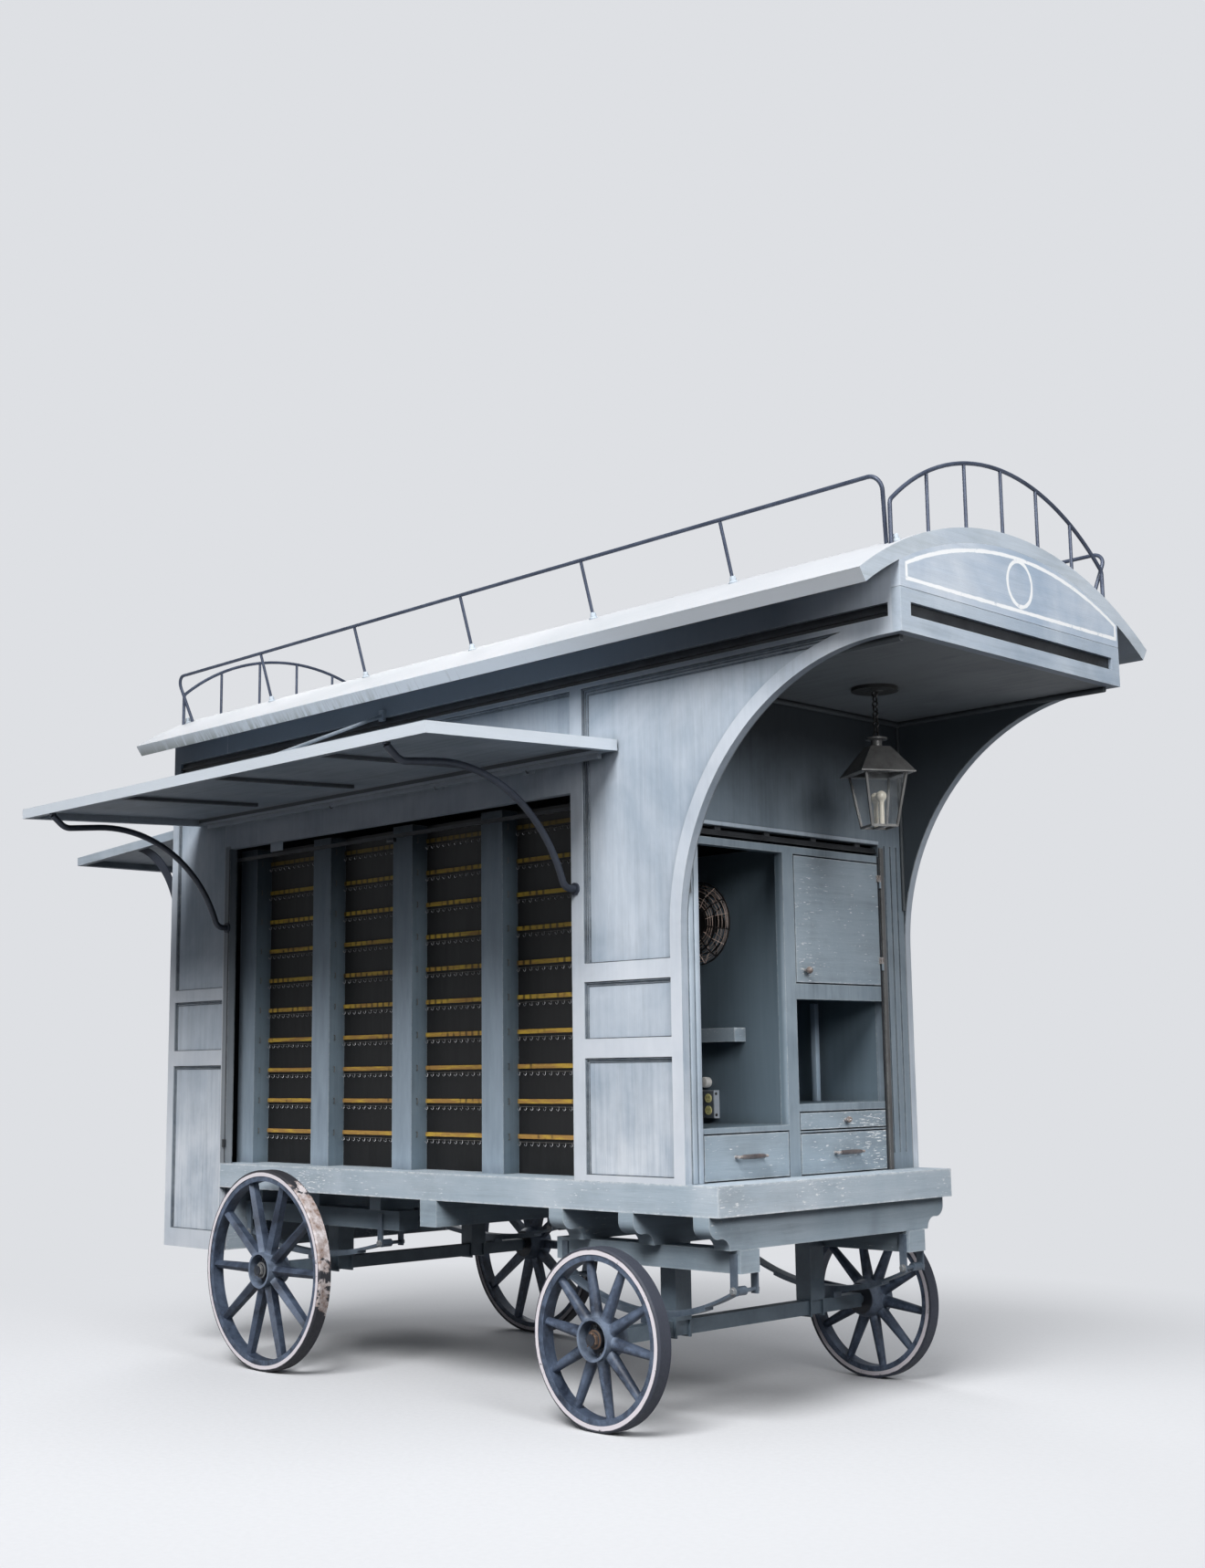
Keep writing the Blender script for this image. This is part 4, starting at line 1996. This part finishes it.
@dataclass
class RoofFittings:
    """Foot collars of the side railings."""

    rear: float = -3.260
    pitch: float = 0.670
    count: int = 7
    foot_y: float = 0.6005
    foot_z: float = 2.7837

    def build(self) -> None:
        """Makes a collar at each foot of the side railings."""
        collars = []
        for side in Side:
            lean = Vector((0, side.value * math.sin(math.radians(12)), math.cos(math.radians(12))))
            base = at(self.rear, side.value * self.foot_y, self.foot_z)
            steps = ((0.017, -0.006), (0.017, 0.003), (0.012, 0.008), (0.010, 0.020), (0.008, 0.024))
            collar = turned("rail_collar", base, lean, steps, 20)
            collars.append(row_of(collar, self.count, Vector((self.pitch, 0, 0))))
        fix(joined("railing_collars", collars), Paints.frames)


@dataclass
class LanternPanes:
    """Four glass panes of the lantern."""

    middle: Point = (0.210, 0.0, 0.0)
    turn: float = -30.0
    bottom: float = 2.0015
    top: float = 2.1785
    bottom_half: float = 0.042
    top_half: float = 0.0705
    bottom_out: float = 0.0463
    top_out: float = 0.0747
    thickness: float = 0.0015

    def build(self) -> None:
        """Cuts the four panes to the taper of the frame."""
        panes = []
        for quarter in range(4):
            pick()
            height = self.top - self.bottom
            bpy.ops.mesh.primitive_cube_add(size=1.0)
            pane = bpy.context.object
            pane.scale = (self.thickness, 2 * self.bottom_half, height)
            settle(pane, "pane")
            with editing(pane) as mesh:
                bpy.ops.mesh.select_mode(type="FACE")
                select_faces(pane, mesh, lambda middle, normal: normal.z > 0.9)
                bpy.ops.transform.resize(value=(1, self.top_half / self.bottom_half, 1))
                bpy.ops.transform.translate(value=(self.top_out - self.bottom_out, 0, 0))
            pane.location = (self.bottom_out, 0, self.bottom + height / 2)
            settle(pane, "pane")
            pane.rotation_euler = (0, 0, math.radians(self.turn + 90 * quarter))
            settle(pane, "pane")
            pane.location = at(*self.middle)
            panes.append(settle(pane, f"pane_{quarter}"))
        fix(joined("lantern_panes", panes), Paints.glass)


@dataclass
class HubFittings:
    """Lug nuts, collar, axle nut and pin inside the open cup of each hub."""

    floor_out: float = 0.7305
    core_out: float = 0.7605
    nut_out: float = 0.7665
    bolt_ring: float = 0.0475
    bolts: int = 5
    washer: Steps = ((0.0105, -0.0005), (0.0105, 0.0018), (0.0095, 0.0024))
    nut: Steps = ((0.0088, 0.0018), (0.0088, 0.0098), (0.0070, 0.0116))
    collar: Steps = ((0.0315, -0.0006), (0.0315, 0.0022), (0.0290, 0.0034))
    axle_nut: Steps = ((0.0245, -0.0006), (0.0245, 0.0098), (0.0218, 0.0122))

    def build(self, end: str, side: Side, x: float, radius: float) -> None:
        """Makes the fittings of one hub.

        Args:
            end: Which axle, "front" or "rear".
            side: Side of the cart.
            x: Place of the axle.
            radius: Height of its centre, the wheel's radius.
        """
        body = f"{end}_{side.label}_wheel_body"
        axis = Vector((0, side.value, 0))

        def base(out: float, turn: float = 0.0, away: float = 0.0) -> Vector:
            """Point of the hub so far out along the axle, turned and away from it."""
            return at(x + away * math.cos(turn), side.value * out, radius + away * math.sin(turn))

        nuts = []
        for index in range(self.bolts):
            turn = -math.tau * (index + 0.25) / self.bolts
            spot = base(self.floor_out, turn, self.bolt_ring)
            nuts.append(turned("lug_washer", spot, axis, self.washer, 16))
            nuts.append(turned("lug_nut", spot, axis, self.nut, 6))
        fix(joined(f"{end}_{side.label}_lug_nuts", nuts), Paints.bolts, body)
        collar = turned("collar", base(self.core_out), axis, self.collar, 32)
        hexagon = turned("axle_nut", base(self.nut_out), axis, self.axle_nut, 6)
        ends = [base(self.nut_out + 0.0145, turn, 0.0255) for turn in (math.pi / 3, math.pi * 4 / 3)]
        pin = rod("pin", ends, 0.0020, 2)
        finish = Paints.rusty if end == "front" else Paints.steel
        fix(joined(f"{end}_{side.label}_axle_nut", [collar, hexagon, pin]), finish, body)


@dataclass
class Wheels:
    """The four wheels: their coats, white tyre rings and hub fittings."""

    front_axle: float = -0.455
    rear_axle: float = -2.374
    front_radius: float = 0.297
    rear_radius: float = 0.395
    front_ring: tuple[float, float] = (0.2715, 0.2875)
    rear_ring: tuple[float, float] = (0.370, 0.3855)

    def build(self) -> None:
        """Dresses wheels and tyres and adds the fittings of each hub."""
        for end, x, radius, ring in (
            ("front", self.front_axle, self.front_radius, self.front_ring),
            ("rear", self.rear_axle, self.rear_radius, self.rear_ring),
        ):
            tread = paint(58, 62, 74) if end == "front" else paint(40, 40, 46)
            peel = 1.0 if end == "rear" else 0.0
            middle = (x, 0.0, radius)
            tyre = Tyre(f"{end}_tyre_rubber", middle, ring, radius, tread, peel=peel)
            wheel = WheelPaint(
                f"{end}_wheel_navy", paint(31, 39, 54), paint(106, 121, 145),
                worn=0.6, metal=0.1, rough=0.5, middle=middle,
            )
            for side in Side:
                dress(f"{end}_{side.label}_wheel", wheel)
                dress(f"{end}_{side.label}_tyre", tyre)
                HubFittings().build(end, side, x, radius)


@dataclass
class Stage:
    """Floor, lights, background and camera."""

    floor_half: float = 60.0
    camera_place: Point = (4.068, -5.1735, 1.176)
    camera_turn: float = 2.36070534
    camera_pitch: float = 0.152938883
    camera_roll: float = -0.01265375
    lens: float = 42.557
    sensor: float = 36.0
    horizon: float = 0.13
    zenith: float = 0.42
    lamps_at: Sequence[tuple[str, Point, float, float]] = (
        ("key_lamp", (6.0, -15.2, 16.8), 11.2, 6350.0),
        ("canopy_lamp", (6.6, -2.6, 4.6), 3.2, 310.0),
        ("rear_lamp", (-9.6, 4.4, 6.4), 5.0, 300.0),
    )

    def build(self) -> None:
        """Makes everything round the cart."""
        self.floor()
        self.background()
        self.lamps()
        self.camera()

    def floor(self) -> None:
        """Plain pale floor."""
        pick()
        bpy.ops.mesh.primitive_plane_add(size=2 * self.floor_half, location=(0, 0, 0))
        floor = settle(bpy.context.object, "stage_floor")
        floor.data.materials.append(Paints.floor.material())

    def background(self) -> None:
        """Soft light from all round, brighter from above, and a pale background for the camera."""
        world = bpy.data.worlds.new("studio")
        bpy.context.scene.world = world
        world.use_nodes = True
        wiring = Wiring(world.node_tree)
        up = wiring.axes(wiring.add("ShaderNodeTexCoord").outputs["Generated"])["z"]
        strength = wiring.spread(up, 0.0, 0.9, self.horizon, self.zenith)
        soft = wiring.add("ShaderNodeBackground", {"Color": opaque((0.93, 0.96, 1.0)), "Strength": strength})
        white = wiring.add("ShaderNodeBackground", {"Color": opaque(BACKDROP), "Strength": 1.0})
        seen = wiring.add("ShaderNodeLightPath").outputs["Is Camera Ray"]
        both = wiring.add("ShaderNodeMixShader", {0: seen, 1: soft.outputs[0], 2: white.outputs[0]})
        wiring.add("ShaderNodeOutputWorld", {"Surface": both.outputs[0]})

    def lamps(self) -> None:
        """Large soft lamps: a key from the near side, and weaker ones from the canopy end and the rear."""
        for name, place, size, power in self.lamps_at:
            light = bpy.data.lights.new(name, "AREA")
            light.shape = "DISK"
            light.size = size
            light.energy = power
            lamp = bpy.data.objects.new(name, light)
            bpy.context.scene.collection.objects.link(lamp)
            lamp.location = at(*place)
            target = at(-1.2, 0.0, 1.3)
            lamp.rotation_mode = "QUATERNION"
            lamp.rotation_quaternion = (target - lamp.location).to_track_quat("-Z", "Y")

    def camera(self) -> None:
        """Camera at the viewing angle of the photograph."""
        view = bpy.data.cameras.new("camera")
        view.lens = self.lens
        view.sensor_fit = "VERTICAL"
        view.sensor_height = self.sensor
        view.sensor_width = self.sensor
        view.clip_end = 200.0
        turn, pitch, roll = self.camera_turn, self.camera_pitch, self.camera_roll
        ahead = Vector((math.cos(pitch) * math.cos(turn), math.cos(pitch) * math.sin(turn), math.sin(pitch)))
        right = Vector((math.sin(turn), -math.cos(turn), 0.0))
        up = right.cross(ahead)
        level_right = math.cos(roll) * right + math.sin(roll) * up
        level_up = -math.sin(roll) * right + math.cos(roll) * up
        camera = bpy.data.objects.new("camera", view)
        bpy.context.scene.collection.objects.link(camera)
        axes = Matrix((level_right, level_up, -ahead)).transposed()
        camera.matrix_world = Matrix.Translation(at(*self.camera_place)) @ axes.to_4x4()
        bpy.context.scene.camera = camera
        bpy.context.scene.view_settings.view_transform = "Standard"


def main() -> None:
    """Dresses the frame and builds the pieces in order."""
    logging.basicConfig(level=logging.INFO, format="%(name)s: %(message)s")
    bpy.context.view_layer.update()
    Stage().build()
    for node, finish in NODE_FINISH.items():
        dress(node, finish)
    for assembly in (
        Wheels(), PanelBeads(), WindowFittings(), RackFittings(), CanopyTrim(), CabinetFittings(),
        FanWires(), SpringFittings(), RoofFittings(), LanternPanes(),
    ):
        assembly.build()
    log.info("boxes written")


if __name__ == "__main__":
    main()
